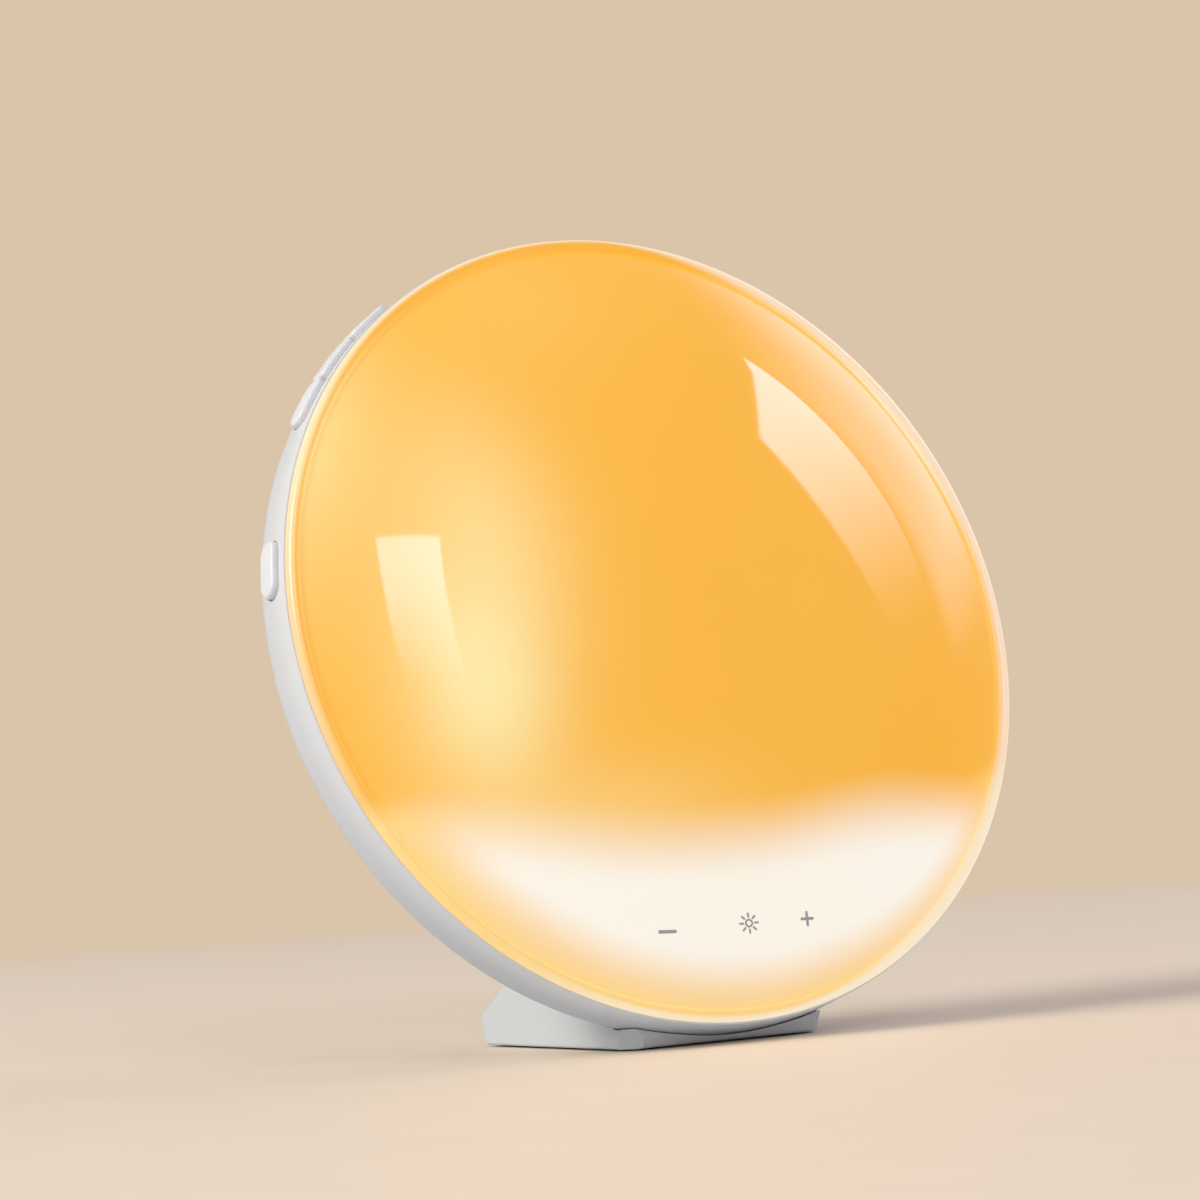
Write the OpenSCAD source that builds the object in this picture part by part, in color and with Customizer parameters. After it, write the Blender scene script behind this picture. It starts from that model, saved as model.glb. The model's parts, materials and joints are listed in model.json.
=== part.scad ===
// Sunrise alarm clock: a round opal light dome in a thin white housing, on a wedge foot.
// Millimetres. +Z is up, the dome faces -Y, +X is the clock's right as seen from the front.
// The origin lies on the table, under the middle of the clock's depth and width.
// Most pieces are drawn in the disc frame: its z axis runs out of the dome, its y axis
// runs up along the rim plane, and z = 0 is the joint between the dome and the housing.

/* [Disc] */
// Radius of the housing's side wall
body_r = 90.4; // [84:0.2:96]
// How far the rim plane leans back from upright
lean = 16; // [10:0.5:22]
// Clear height under the side wall
floor_gap = 1.6; // [1.4:0.2:4]

/* [Diffuser] */
// Step from the side wall in to the dome's rim bead
rim_step = 0.4; // [0.2:0.1:0.8]
// Wall thickness of the opal dome
dome_wall = 2; // [1.6:0.1:2.6]
// Radius of curvature of the dome's middle
dome_crown_r = 230; // [205:5:260]
// Radius of curvature of the dome's shoulder
dome_shoulder_r = 90; // [84:1:96]
// Where the middle turns into the shoulder
dome_joint_r = 60; // [56:1:64]
// Width of the rounded bead round the dome
bead_w = 2.6; // [2:0.1:3.2]
// Depth of the lip that centres the dome in the housing
lip_depth = 1.6; // [1:0.1:1.8]

/* [Housing] */
// Wall thickness of the housing
housing_wall = 2.2; // [1.8:0.1:2.6]
// Straight depth of the side wall
side_depth = 9.5; // [9.3:0.1:11]
// Radius that turns the side wall into the back
edge_r = 6; // [4.5:0.5:7]
// Angle through which that radius turns
edge_turn = 45; // [40:1:50]
// Depth of the back behind the rim plane
back_depth = 40; // [39:0.5:44]
// Hole size of the speaker grille
grille_hole_d = 2; // [1.4:0.1:2.4]
// Distance between the grille's rings
grille_pitch = 4.5; // [4:0.1:5]

/* [Buttons] */
// Length of a side button along the wall
button_len = 12.7; // [11:0.1:14]
// Height of a side button across the wall
button_w = 5.9; // [5:0.1:6.1]
// How far a button stands out of the wall
button_proud = 1.5; // [1:0.1:2]
// Distance from the rim plane to the buttons' centre line
button_depth = 5.75; // [5.6:0.05:5.9]
// Height of the lone button's centre, as an angle above the disc's middle
lone_angle = 11; // [6:0.5:14]
// Centre of the row of three buttons, as an angle above the disc's middle
row_angle = 45.2; // [42:0.2:47]
// Gap between the buttons of a row
row_gap = 0.45; // [0.3:0.05:0.8]
// Travel of a side button
button_travel = 0.6; // [0.3:0.05:0.8]

/* [Foot] */
// Width of the foot at the table
foot_w = 51.2; // [44:0.4:58]
// Length of the foot at the table
foot_len = 60; // [54:1:64]
// How far the foot reaches in front of the disc's middle
foot_reach = 16.4; // [12:0.2:18]
// Slope of the foot's undercut chin
chin_angle = 64; // [50:1:75]
// Width of the bevel at the two front corners
foot_bevel = 4; // [1.5:0.1:5]
// Height of the foot's lower back edge
heel_h = 6.2; // [3:0.2:7]
// Slope of the foot's back face above the heel
back_slope = 34; // [30:1:40]
// Wall thickness of the foot
foot_wall = 2.2; // [1.8:0.1:2.8]
// Thickness of the plate that closes the foot
base_plate_t = 2; // [1.6:0.1:2.6]
// Diameter of a rubber pad
pad_d = 8; // [6:0.5:10]
// How far the pads stand out below the foot
pad_proud = 0.4; // [0.3:0.1:0.6]

/* [Inside] */
// Thickness of the main, LED and control boards
board_t = 1.6; // [1.2:0.1:1.6]
// Width of the main board
main_board_w = 84; // [80:1:86]
// Height of the main board
main_board_h = 70; // [68:1:74]
// Radius of the LED board
led_board_r = 60; // [58.5:0.5:61]
// Diameter of the speaker's frame
speaker_d = 40; // [38:1:42]
// Diameter of the backup coin cell
cell_d = 20; // [16:0.5:20.5]
// Thickness of the backup coin cell
cell_t = 3.2; // [1.6:0.1:3.4]
// Radius of the power jack's centre pin
jack_pin_r = 1.05; // [0.8:0.05:1.3]
// Radius of the power jack's socket
jack_bore_r = 3; // [2.75:0.05:3.2]

/* [Hidden] */
$fn = 96;
small_fn = 32;
far = 400;            // longer than anything that is cut
seat_gap = 0.3;       // gap between pieces that seat on a curved face
slide_gap = 0.25;     // gap round a button or a door in its opening
eps = 0.01;

function unit(v) = v / norm(v);

// Dome outline: a shoulder arc that runs into a flatter crown arc at dome_joint_r.
rim_r = body_r - rim_step;
crease_r = rim_r - bead_w;
crease_h = 1.4;
bead_h = 1;                            // where the bead's rounding starts over the joint
joint_slope = asin(dome_joint_r / dome_crown_r);
shoulder_cr = dome_joint_r - dome_shoulder_r * sin(joint_slope);
shoulder_ch = crease_h - sqrt(pow(dome_shoulder_r, 2) - pow(crease_r - shoulder_cr, 2));
crown_ch = shoulder_ch - (dome_crown_r - dome_shoulder_r) * cos(joint_slope);
function dome_h(r, inset = 0) = r < dome_joint_r - inset * sin(joint_slope)
    ? crown_ch + sqrt(pow(dome_crown_r - inset, 2) - r * r)
    : shoulder_ch + sqrt(pow(dome_shoulder_r - inset, 2) - pow(r - shoulder_cr, 2));

// Housing outline: side wall, edge radius, then one arc down to a flat in the middle.
edge_cr = body_r - edge_r;
bowl_r = (back_depth - side_depth - edge_r * sin(edge_turn)) / (1 - sin(edge_turn));
bowl_cr = edge_cr + (edge_r - bowl_r) * cos(edge_turn);
bowl_ch = bowl_r - back_depth;
inner_r = body_r - housing_wall;
function bowl_h(r, inset = 0) = r < bowl_cr
    ? inset - back_depth
    : bowl_ch - sqrt(pow(bowl_r - inset, 2) - pow(r - bowl_cr, 2));

// Place of the disc over the table, from what reaches lowest, furthest forward and back.
front_reach = lean > joint_slope
    ? shoulder_ch * cos(lean) + shoulder_cr * sin(lean) + dome_shoulder_r
    : crown_ch * cos(lean) + dome_crown_r;
rear_reach = bowl_r - bowl_ch * cos(lean) + bowl_cr * sin(lean);
disc_y = (front_reach - rear_reach) / 2;
disc_z = floor_gap + body_r * cos(lean) + side_depth * sin(lean);

// Speaker, seated on the inside of the back.
speaker_r = speaker_d / 2;
speaker_ear_r = speaker_r + 2.5;
speaker_ear_angles = [90, 210, 330];
speaker_pad_r = 2.4;
plateau_in = bowl_h(speaker_ear_r + speaker_pad_r, housing_wall);
gasket_t = 0.8;
gasket_w = 3;
speaker_back = plateau_in + gasket_t;
frame_t = 1;
magnet_r = speaker_r * 0.65;
basket_top = speaker_back + 9;
magnet_top = basket_top + 6.6;

// Layers of the inside, measured along the disc's axis.
magnet_gap = 1.9;                      // room between the magnet and the main board
led_header_h = 2.5;                    // room between the main board and the reflector
flange_h = -1.5;                       // front of the reflector's flange
flange_t = 1.4;
main_back = magnet_top + magnet_gap;
main_top = main_back + board_t;
dish_floor = main_top + led_header_h + flange_t;  // front of the reflector's floor
dish_r = led_board_r + 2;              // radius of the reflector's floor
dish_mouth_r = dish_r + 8;             // radius where the dish meets the flange
reflector_r = inner_r - 4.2;
led_top = dish_floor + board_t;
control_back = flange_h;
control_top = control_back + board_t;

// Screw places: [angle, radius] in the disc frame.
dome_screw_angles = [70, 110, 205, 335];
dome_screw_r = body_r - 11.4;
dome_shank_r = 1.2;
shank_r = 1.1;                         // screws of the trays and the main board
hole_r = shank_r + 0.3;                // their holes in what they hold
small_shank_r = 0.9;                   // screws of the small boards, the speaker and the foot
boss_r = 3.2;
boss_foot = -12.2;                     // back end of the dome's screw bosses
well_r = 5;
ledge_t = 2;                           // floor of a screw well
reflector_screw_angles = [90, 192, 348];
control_screw_angles = [230, 310];
tray_screw_r = reflector_r - 4;
post_r = 3;
header_size = [15.2, 2.5];
led_header_y = led_board_r - 32;
ribbon_t = 0.4;
ribbon_w = 10;
led_screw_angles = [0, 60, 120, 180];
led_screw_r = led_board_r - 4;
main_screw_x = main_board_w / 2 - 5;
main_screw_y = main_board_h / 2 - 5;
chip_x = main_board_w / 2 - 13;        // the chips' columns beside the speaker
chip_t = 1.2;
clock_chip = [10, 10];
driver_chip = [6, 5];
sound_chip = [6, 7];
capacitor_x = main_board_w / 2 - 26;
capacitor_r = 3.2;
small_capacitor_r = 2.4;
crystal_r = 1.5;

// Control board and the display zone behind the touch marks.
control_r = inner_r - 6.2;
control_edge = 39 - control_r;         // upper straight edge of the control board
ribbon_y = control_edge - 3;
shield_edge = control_edge - 1.5;
shield_r = control_r - 4.7;
shield_side = shield_r - 19.3;
shield_t = 1.5;
icon_y = 11.7 - control_r;
icon_pitch = 17.8;
display_size = [50, 18.5, 7];
display_y = icon_y + 14.3;
digit_h = 12.7;
digit_w = 7.2;
digit_pitch = 11.4;
bar_t = 1.4;
panel_led_x = display_size[0] / 2 + 11;  // nearest lamp beside the display module
panel_led_pitch = [9, 8];
panel_led_size = [3.5, 2.8];
led_t = 0.8;
warm_led_size = [2.8, 3.5];
color_led_size = [5, 5];
led_ring_step = 9;                     // distance between the rings of lamps
outer_ring_r = led_board_r - 10;
spring_r = 2.6;
spring_wire_r = 0.3;
spring_turns = 5;

// Side buttons and their switches.
row_step = (button_len + row_gap) / (body_r + button_proud) * 180 / PI;
inner_end = 1.6;
button_lip = 0.9;                      // retaining flange round a button
button_lip_t = 1.2;
button_chamfer = 0.5;
lip_top = inner_r - seat_gap;
switch_face_r = inner_r - 6.2;         // outer face of a tact switch
switch_size = [3.6, 6, 4];             // radial, along the wall, along the disc's axis
plunger_r = 1;
plunger_out = 0.9;
plunger_in = 1;                        // length of a plunger inside its switch at rest
plunger_gap = 0.08;
side_board_t = 1.2;
side_board_front = -button_depth - switch_size[2] / 2;
side_board_back = side_board_front - side_board_t;
side_board_in = switch_face_r - 12;
side_board_from = lone_angle - 9;
side_board_to = row_angle + 1.5 * row_step + 3.5;
side_post_angles = [lone_angle + 12, side_board_to - 4];
side_post_r = side_board_in + 3.5;
side_post_w = 2.5;

// Jack and battery bay on the back.
jack_size = [9, 11];
jack_y = jack_size[1] / 2 - main_board_h / 2;
jack_rim_r = 7;
jack_face = bowl_h(jack_rim_r - jack_y) + 0.8;  // floor of the recess round the socket
jack_depth = 9.5;                      // free length of the socket's bore
bay_y = body_r - 45.4;
bay_size = [cell_d + 7, cell_d + 3];
bay_floor = 12.5 - back_depth;
bay_wall = 1.6;
notch_y = bay_y - bay_size[1] / 2 + 3.4;  // finger notch in the battery door
contact_t = 0.4;
cell_front = bay_floor - contact_t;

// Foot: corners of its side outline, in the clock's own frame.
foot_z = pad_proud;
foot_front = disc_y - foot_reach;
foot_rear = foot_front + foot_len;
heel_out = 2.3;
side_draft = 3;
foot_top = 40;
foot_lip = 2 - side_depth;              // front of the foot, level with the rear of the side wall
foot_faces = [
    [[0, foot_front, foot_z], [0, -sin(chin_angle), -cos(chin_angle)]],
    [[0, foot_rear, foot_z], unit([0, heel_h, -heel_out])],
    [[0, foot_rear + heel_out, foot_z + heel_h], [0, sin(back_slope), cos(back_slope)]],
    [[foot_w / 2, 0, foot_z], [cos(side_draft), 0, sin(side_draft)]],
    [[-foot_w / 2, 0, foot_z], [-cos(side_draft), 0, sin(side_draft)]],
    [[foot_w / 2 - foot_bevel, foot_front, foot_z],
        unit([sin(chin_angle), -sin(chin_angle), -cos(chin_angle)])],
    [[foot_bevel - foot_w / 2, foot_front, foot_z],
        unit([-sin(chin_angle), -sin(chin_angle), -cos(chin_angle)])]
];
foot_screw_x = 15;
foot_screw_y = -66;
foot_seat_r = 5;
foot_wall_h = bowl_h(norm([foot_screw_x, foot_screw_y]));
foot_seat_h = foot_wall_h + 5.3;       // seat of the foot screws' heads inside the housing
foot_boss_r = 3.4;
plate_post_r = 3;
plate_fit = 0.25;
plate_head_r = 2.1;
plate_head_h = base_plate_t - 0.9;      // seat of the plate screws' heads over the foot's underside
plate_front = foot_front + pad_d + 5;   // the foot is solid in front of this, under the housing
plate_screws = [for (x = [-1, 1], y = [plate_front + 6, foot_rear - 19]) [x * (foot_w / 2 - 8), y, 0]];
pads = [for (x = [-1, 1], y = [foot_front + pad_d / 2 + 3, foot_rear - pad_d / 2 - 5])
    [x * (foot_w / 2 - 8), y, 0]];
pad_sunk = 1;

white = [0.93, 0.93, 0.94];
opal = [0.98, 0.76, 0.4];
board_green = [0.1, 0.4, 0.25];

// ---- frames and general shapes ----

module on_disc() {
    translate([0, disc_y, disc_z]) rotate([90 - lean, 0, 0]) children();
}

module around(angles, r) {
    for (a = angles) translate([r * cos(a), r * sin(a), 0]) children();
}

// Everything on the far side of a plane.
module beyond(point, normal) {
    translate(point)
        rotate([0, acos(normal[2]), atan2(normal[1], normal[0])])
            translate([-far, -far, 0]) cube([2 * far, 2 * far, far]);
}

module tube(r_out, r_in, h0, h1) {
    difference() {
        translate([0, 0, h0]) cylinder(r = r_out, h = h1 - h0);
        translate([0, 0, h0 - 1]) cylinder(r = r_in, h = h1 - h0 + 2);
    }
}

module rod(r, h0, h1) {
    translate([0, 0, h0]) cylinder(r = r, h = h1 - h0, $fn = small_fn);
}

module plate(size, h0, h1) {
    translate([-size[0] / 2, -size[1] / 2, h0]) cube([size[0], size[1], h1 - h0]);
}

// A pan-head screw along z: the head sits on h0 and stands away from dir, the shank runs to h0 + dir * len.
module screw(h0, len, shank_r, head_r, head_h, dir) {
    translate([0, 0, h0]) mirror([0, 0, dir > 0 ? 1 : 0]) {
        difference() {
            cylinder(r = head_r, h = head_h, $fn = small_fn);
            for (turn = [0, 90]) rotate([0, 0, turn])
                translate([-head_r * 0.6, -0.25, head_h * 0.45]) cube([head_r * 1.2, 0.5, head_h]);
        }
        translate([0, 0, -len]) cylinder(r = shank_r, h = len, $fn = small_fn);
    }
}

// Straight-sided part of a disc between two angles, as a flat outline.
module sector(from, to, r) {
    span = to - from;
    polygon([[0, 0], for (k = [0 : 4]) 1.2 * r * [cos(from + span * k / 4), sin(from + span * k / 4)]]);
}

// Flat outline of a button: a bar along y from low to top, w wide. A free end is half round
// and an end next to another button has small corner radii.
module button_end(w, y, free, corner_r) {
    r = free ? w / 2 : corner_r;
    for (x = free ? [0] : [r - w / 2, w / 2 - r]) translate([x, y - sign(y) * r]) circle(r, $fn = small_fn);
    if (!free) translate([r - w / 2, min(y, y - sign(y) * 2 * r)]) square([w - 2 * r, 2 * r]);
}

module button_outline(w, top, low, free, corner_r) {
    end_top = free[0] ? w / 2 : corner_r;
    end_low = free[1] ? w / 2 : corner_r;
    button_end(w, top, free[0], corner_r);
    button_end(w, low, free[1], corner_r);
    translate([-w / 2, low + end_low]) square([w, top - low - end_top - end_low]);
}

// ---- outlines that are turned about the disc's axis ----

// Under the dome's outer face, moved in by inset.
module dome_area(inset, base = 0) {
    split = dome_joint_r - inset * sin(joint_slope);
    intersection() {
        translate([0, base]) square([split, 2 * far]);
        translate([0, crown_ch]) circle(dome_crown_r - inset, $fn = 360);
    }
    intersection() {
        translate([split - eps, base]) square([rim_r - inset - split, 2 * far]);
        translate([shoulder_cr, shoulder_ch]) circle(dome_shoulder_r - inset, $fn = 240);
    }
}

// Inside the housing's outer face, moved in by inset, up to height top.
module housing_area(inset, top = 0) {
    turn_r = edge_cr + (edge_r - inset) * cos(edge_turn);
    turn_h = -side_depth - (edge_r - inset) * sin(edge_turn);
    translate([0, -side_depth]) square([body_r - inset, side_depth + top]);
    translate([edge_cr, -side_depth]) circle(edge_r - inset);
    translate([0, turn_h - eps]) square([edge_cr, -side_depth - turn_h + 2 * eps]);
    translate([0, inset - back_depth]) square([bowl_cr + eps, back_depth - inset + turn_h]);
    intersection() {
        translate([bowl_cr, -far]) square([turn_r - bowl_cr, far + turn_h]);
        translate([bowl_cr, bowl_ch]) circle(bowl_r - inset, $fn = 240);
    }
}

module inside_dome(gap) {
    rotate_extrude() dome_area(dome_wall + gap, -far);
}

// ---- dome and housing ----

// The rounded bead round the dome, flat where it meets the housing.
module bead_area() {
    translate([crease_r, 0]) square([bead_w, bead_h]);
    intersection() {
        translate([rim_r - bead_w / 2, bead_h]) circle(bead_w / 2);
        translate([crease_r, 0]) square([bead_w, far]);
    }
}

module front_diffuser() {
    color(opal) on_disc() {
        difference() {
            rotate_extrude() {
                dome_area(0);
                bead_area();
            }
            rotate_extrude() dome_area(dome_wall, -1);
        }
        tube(inner_r - 0.2, inner_r - 2, -lip_depth, eps);
        difference() {
            intersection() {
                around(dome_screw_angles, dome_screw_r) rod(boss_r, boss_foot, far / 4);
                rotate_extrude() dome_area(dome_wall / 2, -far / 2);
            }
            around(dome_screw_angles, dome_screw_r) rod(dome_shank_r, boss_foot - 1, boss_foot + 9);
        }
    }
}

module screw_wells() {
    intersection() {
        around(dome_screw_angles, dome_screw_r) rod(well_r, -far / 4, boss_foot);
        rotate_extrude() housing_area(housing_wall / 2);
    }
}

module post(r, h1, bore = shank_r, drill = 8) {
    difference() {
        rod(r, -far / 4, h1);
        rod(bore, h1 - drill, h1 + 1);
    }
}

module grille_holes() {
    rod(grille_hole_d / 2, -back_depth - 1, plateau_in + 1);
    for (ring = [1 : 3]) around([for (k = [1 : 6 * ring]) k * 60 / ring], ring * grille_pitch)
        rod(grille_hole_d / 2, -back_depth - 1, plateau_in + 1);
}

module jack_opening() {
    translate([0, jack_y, 0]) {
        rod(jack_rim_r, -far / 4, jack_face);
        rod(jack_bore_r + 1.3, -far / 4, 0);
    }
}

module bay_prism(grow, h0, h1) {
    translate([0, bay_y, 0]) plate(bay_size + 2 * [grow, grow], h0, h1);
}

// Screw posts and seats that grow out of the housing's wall.
module housing_posts() {
    intersection() {
        union() {
            around(concat(reflector_screw_angles, control_screw_angles), tray_screw_r)
                post(post_r, flange_h - flange_t);
            main_screw_places() post(post_r, main_back);
            for (side = [0, 1]) mirror([side, 0, 0])
                around(side_post_angles, side_post_r) post(side_post_w, side_board_back, small_shank_r, 6);
            around(speaker_ear_angles, speaker_ear_r) rod(speaker_pad_r, -far / 4, speaker_back);
            foot_screw_places() rod(foot_seat_r, -far / 4, foot_seat_h + 2);
            translate([0, jack_y, 0]) rod(jack_rim_r + 1.5, -far / 4, jack_face + housing_wall);
            bay_prism(bay_wall, -far / 4, bay_floor + bay_wall);
        }
        rotate_extrude() housing_area(housing_wall / 2);
    }
}

module rear_housing() {
    color(white) on_disc() difference() {
        union() {
            rotate_extrude() difference() {
                housing_area(0);
                housing_area(housing_wall, 1);
            }
            screw_wells();
            housing_posts();
        }
        around(dome_screw_angles, dome_screw_r) {
            rod(well_r - 1.7, -far / 4, boss_foot - ledge_t);
            rod(dome_shank_r + 0.5, -far / 4, 0);
        }
        for (side = [0, 1]) mirror([side, 0, 0]) button_slots();
        grille_holes();
        jack_opening();
        bay_prism(0, -far / 4, bay_floor);
        around(speaker_ear_angles, speaker_ear_r) rod(small_shank_r, speaker_back - 1.4, 0);
        foot_screw_places() {
            rod(1.7, -far / 4, 0);
            rod(foot_seat_r - 1.6, foot_seat_h, 0);
        }
    }
}

// ---- side buttons; drawn at the disc's right and mirrored for the left ----

module radial(angle, r) {
    rotate([0, 0, angle]) translate([r, 0, -button_depth]) rotate([0, 90, 0]) children();
}

// Prism through the wall with a button's outline, grown all round its free edges by grow and
// along the wall by join at an end next to another button.
module button_prism(place, grow, join, r0, r1) {
    free = place[1];
    radial(place[0], r0) linear_extrude(r1 - r0) button_outline(
        button_w + 2 * grow, button_len / 2 + (free[0] ? grow : join),
        -button_len / 2 - (free[1] ? grow : join), free, inner_end + max(grow, 0));
}

// Band round the disc that gives a button its curved face and its bevelled long edges.
module ring_band(r0, r1) {
    half = button_w / 2;
    rotate_extrude() translate([0, -button_depth]) polygon([
        [r0, -half - 1], [r1 - button_chamfer - 1, -half - 1], [r1, button_chamfer - half],
        [r1, half - button_chamfer], [r1 - button_chamfer - 1, half + 1], [r0, half + 1]
    ]);
}

// Places of the four buttons: angle, then whether the upper and the lower end are free.
lone_place = [lone_angle, [true, true]];
upper_place = [row_angle + row_step, [true, false]];
middle_place = [row_angle, [false, false]];
lower_place = [row_angle - row_step, [false, true]];

// What lies on the neighbours' side of the radial gaps in the row.
module neighbour_side(place) {
    for (end = [0, 1]) if (!place[1][end]) {
        toward = 1 - 2 * end;
        a = place[0] + toward * row_step / 2;
        normal = toward * [-sin(a), cos(a), 0];
        beyond(-row_gap / 2 * normal, normal);
    }
}

module side_button(place) {
    root_r = lip_top - button_lip_t / 2;
    color(white) {
        difference() {
            union() {
                intersection() {
                    button_prism(place, 0, row_gap / 2, lip_top - 3, body_r + 4);
                    ring_band(root_r, body_r + button_proud);
                }
                intersection() {
                    button_prism(place, button_lip, 0, lip_top - 4, body_r);
                    tube(lip_top, lip_top - button_lip_t, -far / 4, 0);
                }
            }
            neighbour_side(place);
        }
        radial(place[0], switch_face_r + plunger_out)
            cylinder(r = 1.6, h = root_r - switch_face_r - plunger_out, $fn = small_fn);
    }
}

// One slot for the lone button and one for the row, whose middle is a straight piece.
module button_slots() {
    for (place = [lone_place, upper_place, lower_place])
        button_prism(place, slide_gap, 1.5 * inner_end, inner_r - 3, body_r + 3);
    radial(row_angle, inner_r - 3) linear_extrude(housing_wall + 6)
        square([button_w + 2 * slide_gap + 4 * eps, button_len + row_gap], center = true);
}

module switch_plunger(place) {
    color("black") radial(place[0], switch_face_r - plunger_in)
        cylinder(r = plunger_r, h = plunger_in + plunger_out, $fn = small_fn);
}

module switch_cases() {
    color([0.2, 0.2, 0.22]) for (place = [lone_place, upper_place, middle_place, lower_place])
        rotate([0, 0, place[0]]) difference() {
            translate([switch_face_r - switch_size[0], -switch_size[1] / 2, side_board_front])
                cube(switch_size);
            translate([switch_face_r - plunger_in - button_travel - 0.4, 0, -button_depth])
                rotate([0, 90, 0]) cylinder(r = plunger_r + plunger_gap, h = 3, $fn = small_fn);
        }
}

module switch_board() {
    color(board_green) difference() {
        intersection() {
            tube(switch_face_r, side_board_in, side_board_back, side_board_front);
            translate([0, 0, side_board_back - 1]) linear_extrude(side_board_t + 2)
                sector(side_board_from, side_board_to, body_r);
        }
        around(side_post_angles, side_post_r) rod(1.3, -far / 4, 0);
    }
}

module switch_board_screws() {
    color("silver") for (side = [0, 1]) on_disc() mirror([side, 0, 0])
        around(side_post_angles, side_post_r) screw(side_board_front, 5, small_shank_r, 2, 1.3, -1);
}

module switch_ribbon() {
    mid = (lone_angle + row_angle) / 2;
    color([0.85, 0.82, 0.75]) rotate([0, 0, mid]) translate([0, 3, 0]) rotate([90, 0, 0])
        linear_extrude(6) polygon([
            [side_board_in + 1, side_board_back], [side_board_in + 1, main_top + ribbon_t],
            [main_reach(mid) - 4, main_top + ribbon_t], [main_reach(mid) - 4, main_top],
            [side_board_in + 1 + ribbon_t, main_top], [side_board_in + 1 + ribbon_t, side_board_back]
        ]);
}

// Distance from the middle to the main board's edge along an angle.
function main_reach(a) = min(main_board_w / 2 / cos(a), main_board_h / 2 / sin(a));

// ---- reflector, lamp and control boards ----

module reflector_tray() {
    color("white") on_disc() {
        difference() {
            union() {
                rotate_extrude() polygon([
                    [0, dish_floor], [dish_r, dish_floor], [dish_mouth_r, flange_h],
                    [reflector_r, flange_h], [reflector_r, flange_h - flange_t],
                    [dish_mouth_r + 1, flange_h - flange_t], [dish_r + 1, dish_floor - flange_t],
                    [0, dish_floor - flange_t]
                ]);
                around(led_screw_angles, led_screw_r) rod(2.5, dish_floor - 7, dish_floor);
            }
            around(dome_screw_angles, dome_screw_r) rod(boss_r + seat_gap, -far / 4, 1);
            around(concat(reflector_screw_angles, control_screw_angles), tray_screw_r) rod(hole_r, -far / 4, 1);
            around(led_screw_angles, led_screw_r) rod(small_shank_r, dish_floor - 6, dish_floor + 1);
            translate([0, led_header_y, 0]) plate([header_size[0] + 1, header_size[1] + 1], -far / 4, 1);
            translate([0, ribbon_y, 0]) plate([ribbon_w + 2, 3], -far / 4, flange_h - 1);
        }
    }
}

module tray_screws() {
    color("silver") on_disc() {
        around(reflector_screw_angles, tray_screw_r) screw(flange_h, 8, shank_r, 2.4, 1.5, -1);
        around(control_screw_angles, tray_screw_r) screw(control_top, 9, shank_r, 2.4, 1.3, -1);
    }
}

module led_board() {
    color([0.95, 0.95, 0.93]) on_disc() difference() {
        translate([0, 0, dish_floor]) cylinder(r = led_board_r, h = board_t);
        translate([-far / 2, control_edge + 2 - far, -far / 2]) cube(far);
        around(led_screw_angles, led_screw_r) rod(hole_r, -far / 4, 0);
    }
}

module led_ring(count, r, size, turn) {
    for (k = [1 : count]) {
        a = turn + k * 360 / count;
        if (r * sin(a) > control_edge + 6)
            rotate([0, 0, a]) translate([r, 0, 0]) plate(size, led_top, led_top + led_t);
    }
}

module warm_white_leds() {
    color([1, 0.9, 0.6]) on_disc() {
        led_ring(24, outer_ring_r, warm_led_size, 7.5);
        led_ring(14, outer_ring_r - 2 * led_ring_step, warm_led_size, 0);
    }
}

module color_leds() {
    color([0.9, 0.9, 0.9]) on_disc() led_ring(16, outer_ring_r - led_ring_step, color_led_size, 11.25);
}

module led_board_screws() {
    color("silver") on_disc() around(led_screw_angles, led_screw_r)
        screw(led_top, 7, small_shank_r, 2.2, 1.4, -1);
}

module lower_segment(r, edge, side) {
    intersection() {
        circle(r);
        translate([-side, -r - 1]) square([2 * side, r + 1 + edge]);
    }
}

module control_board() {
    color(board_green) on_disc() difference() {
        translate([0, 0, control_back]) linear_extrude(board_t)
            lower_segment(control_r, control_edge, far / 2);
        around(control_screw_angles, tray_screw_r) rod(hole_r, -far / 4, far / 4);
    }
}

module light_shield() {
    color("white") on_disc() intersection() {
        translate([0, 0, control_top]) linear_extrude(far / 4) difference() {
            lower_segment(shield_r, shield_edge, shield_side);
            lower_segment(shield_r - shield_t, shield_edge - shield_t, shield_side - shield_t);
        }
        inside_dome(seat_gap);
    }
}

module digit_bars() {
    for (x = [-1, 1], y = [-1, 1])
        translate([x * (digit_w - bar_t) / 2, y * digit_h / 4])
            square([bar_t, digit_h / 2 - bar_t], center = true);
    for (y = [-1 : 1])
        translate([0, y * (digit_h - bar_t) / 2]) square([digit_w - 2.4 * bar_t, bar_t], center = true);
}

module all_segments() {
    for (k = [-1.5 : 1.5]) translate([k * digit_pitch + (k > 0 ? 0.8 : -0.8), display_y]) digit_bars();
    for (y = [-1, 1]) translate([0, display_y + y * digit_h / 5]) circle(bar_t / 2, $fn = small_fn);
}

module display_module() {
    color([0.15, 0.15, 0.16]) on_disc() difference() {
        translate([0, display_y, 0]) plate(display_size, control_top, control_top + display_size[2]);
        translate([0, 0, control_top + display_size[2] - 1]) linear_extrude(2) all_segments();
    }
}

module display_segments() {
    color([1, 0.98, 0.9]) on_disc()
        translate([0, 0, control_top + display_size[2] - 1]) linear_extrude(1) all_segments();
}

module display_panel_leds() {
    color([1, 1, 0.95]) on_disc() for (side = [-1, 1], column = [0, 1], row = [0, 1]) {
        place = [side * (panel_led_x + column * panel_led_pitch[0]),
            display_y + 3 - row * panel_led_pitch[1]];
        if (norm(place) < shield_r - 3)
            translate(place) plate(panel_led_size, control_top, control_top + led_t);
    }
}

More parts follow.
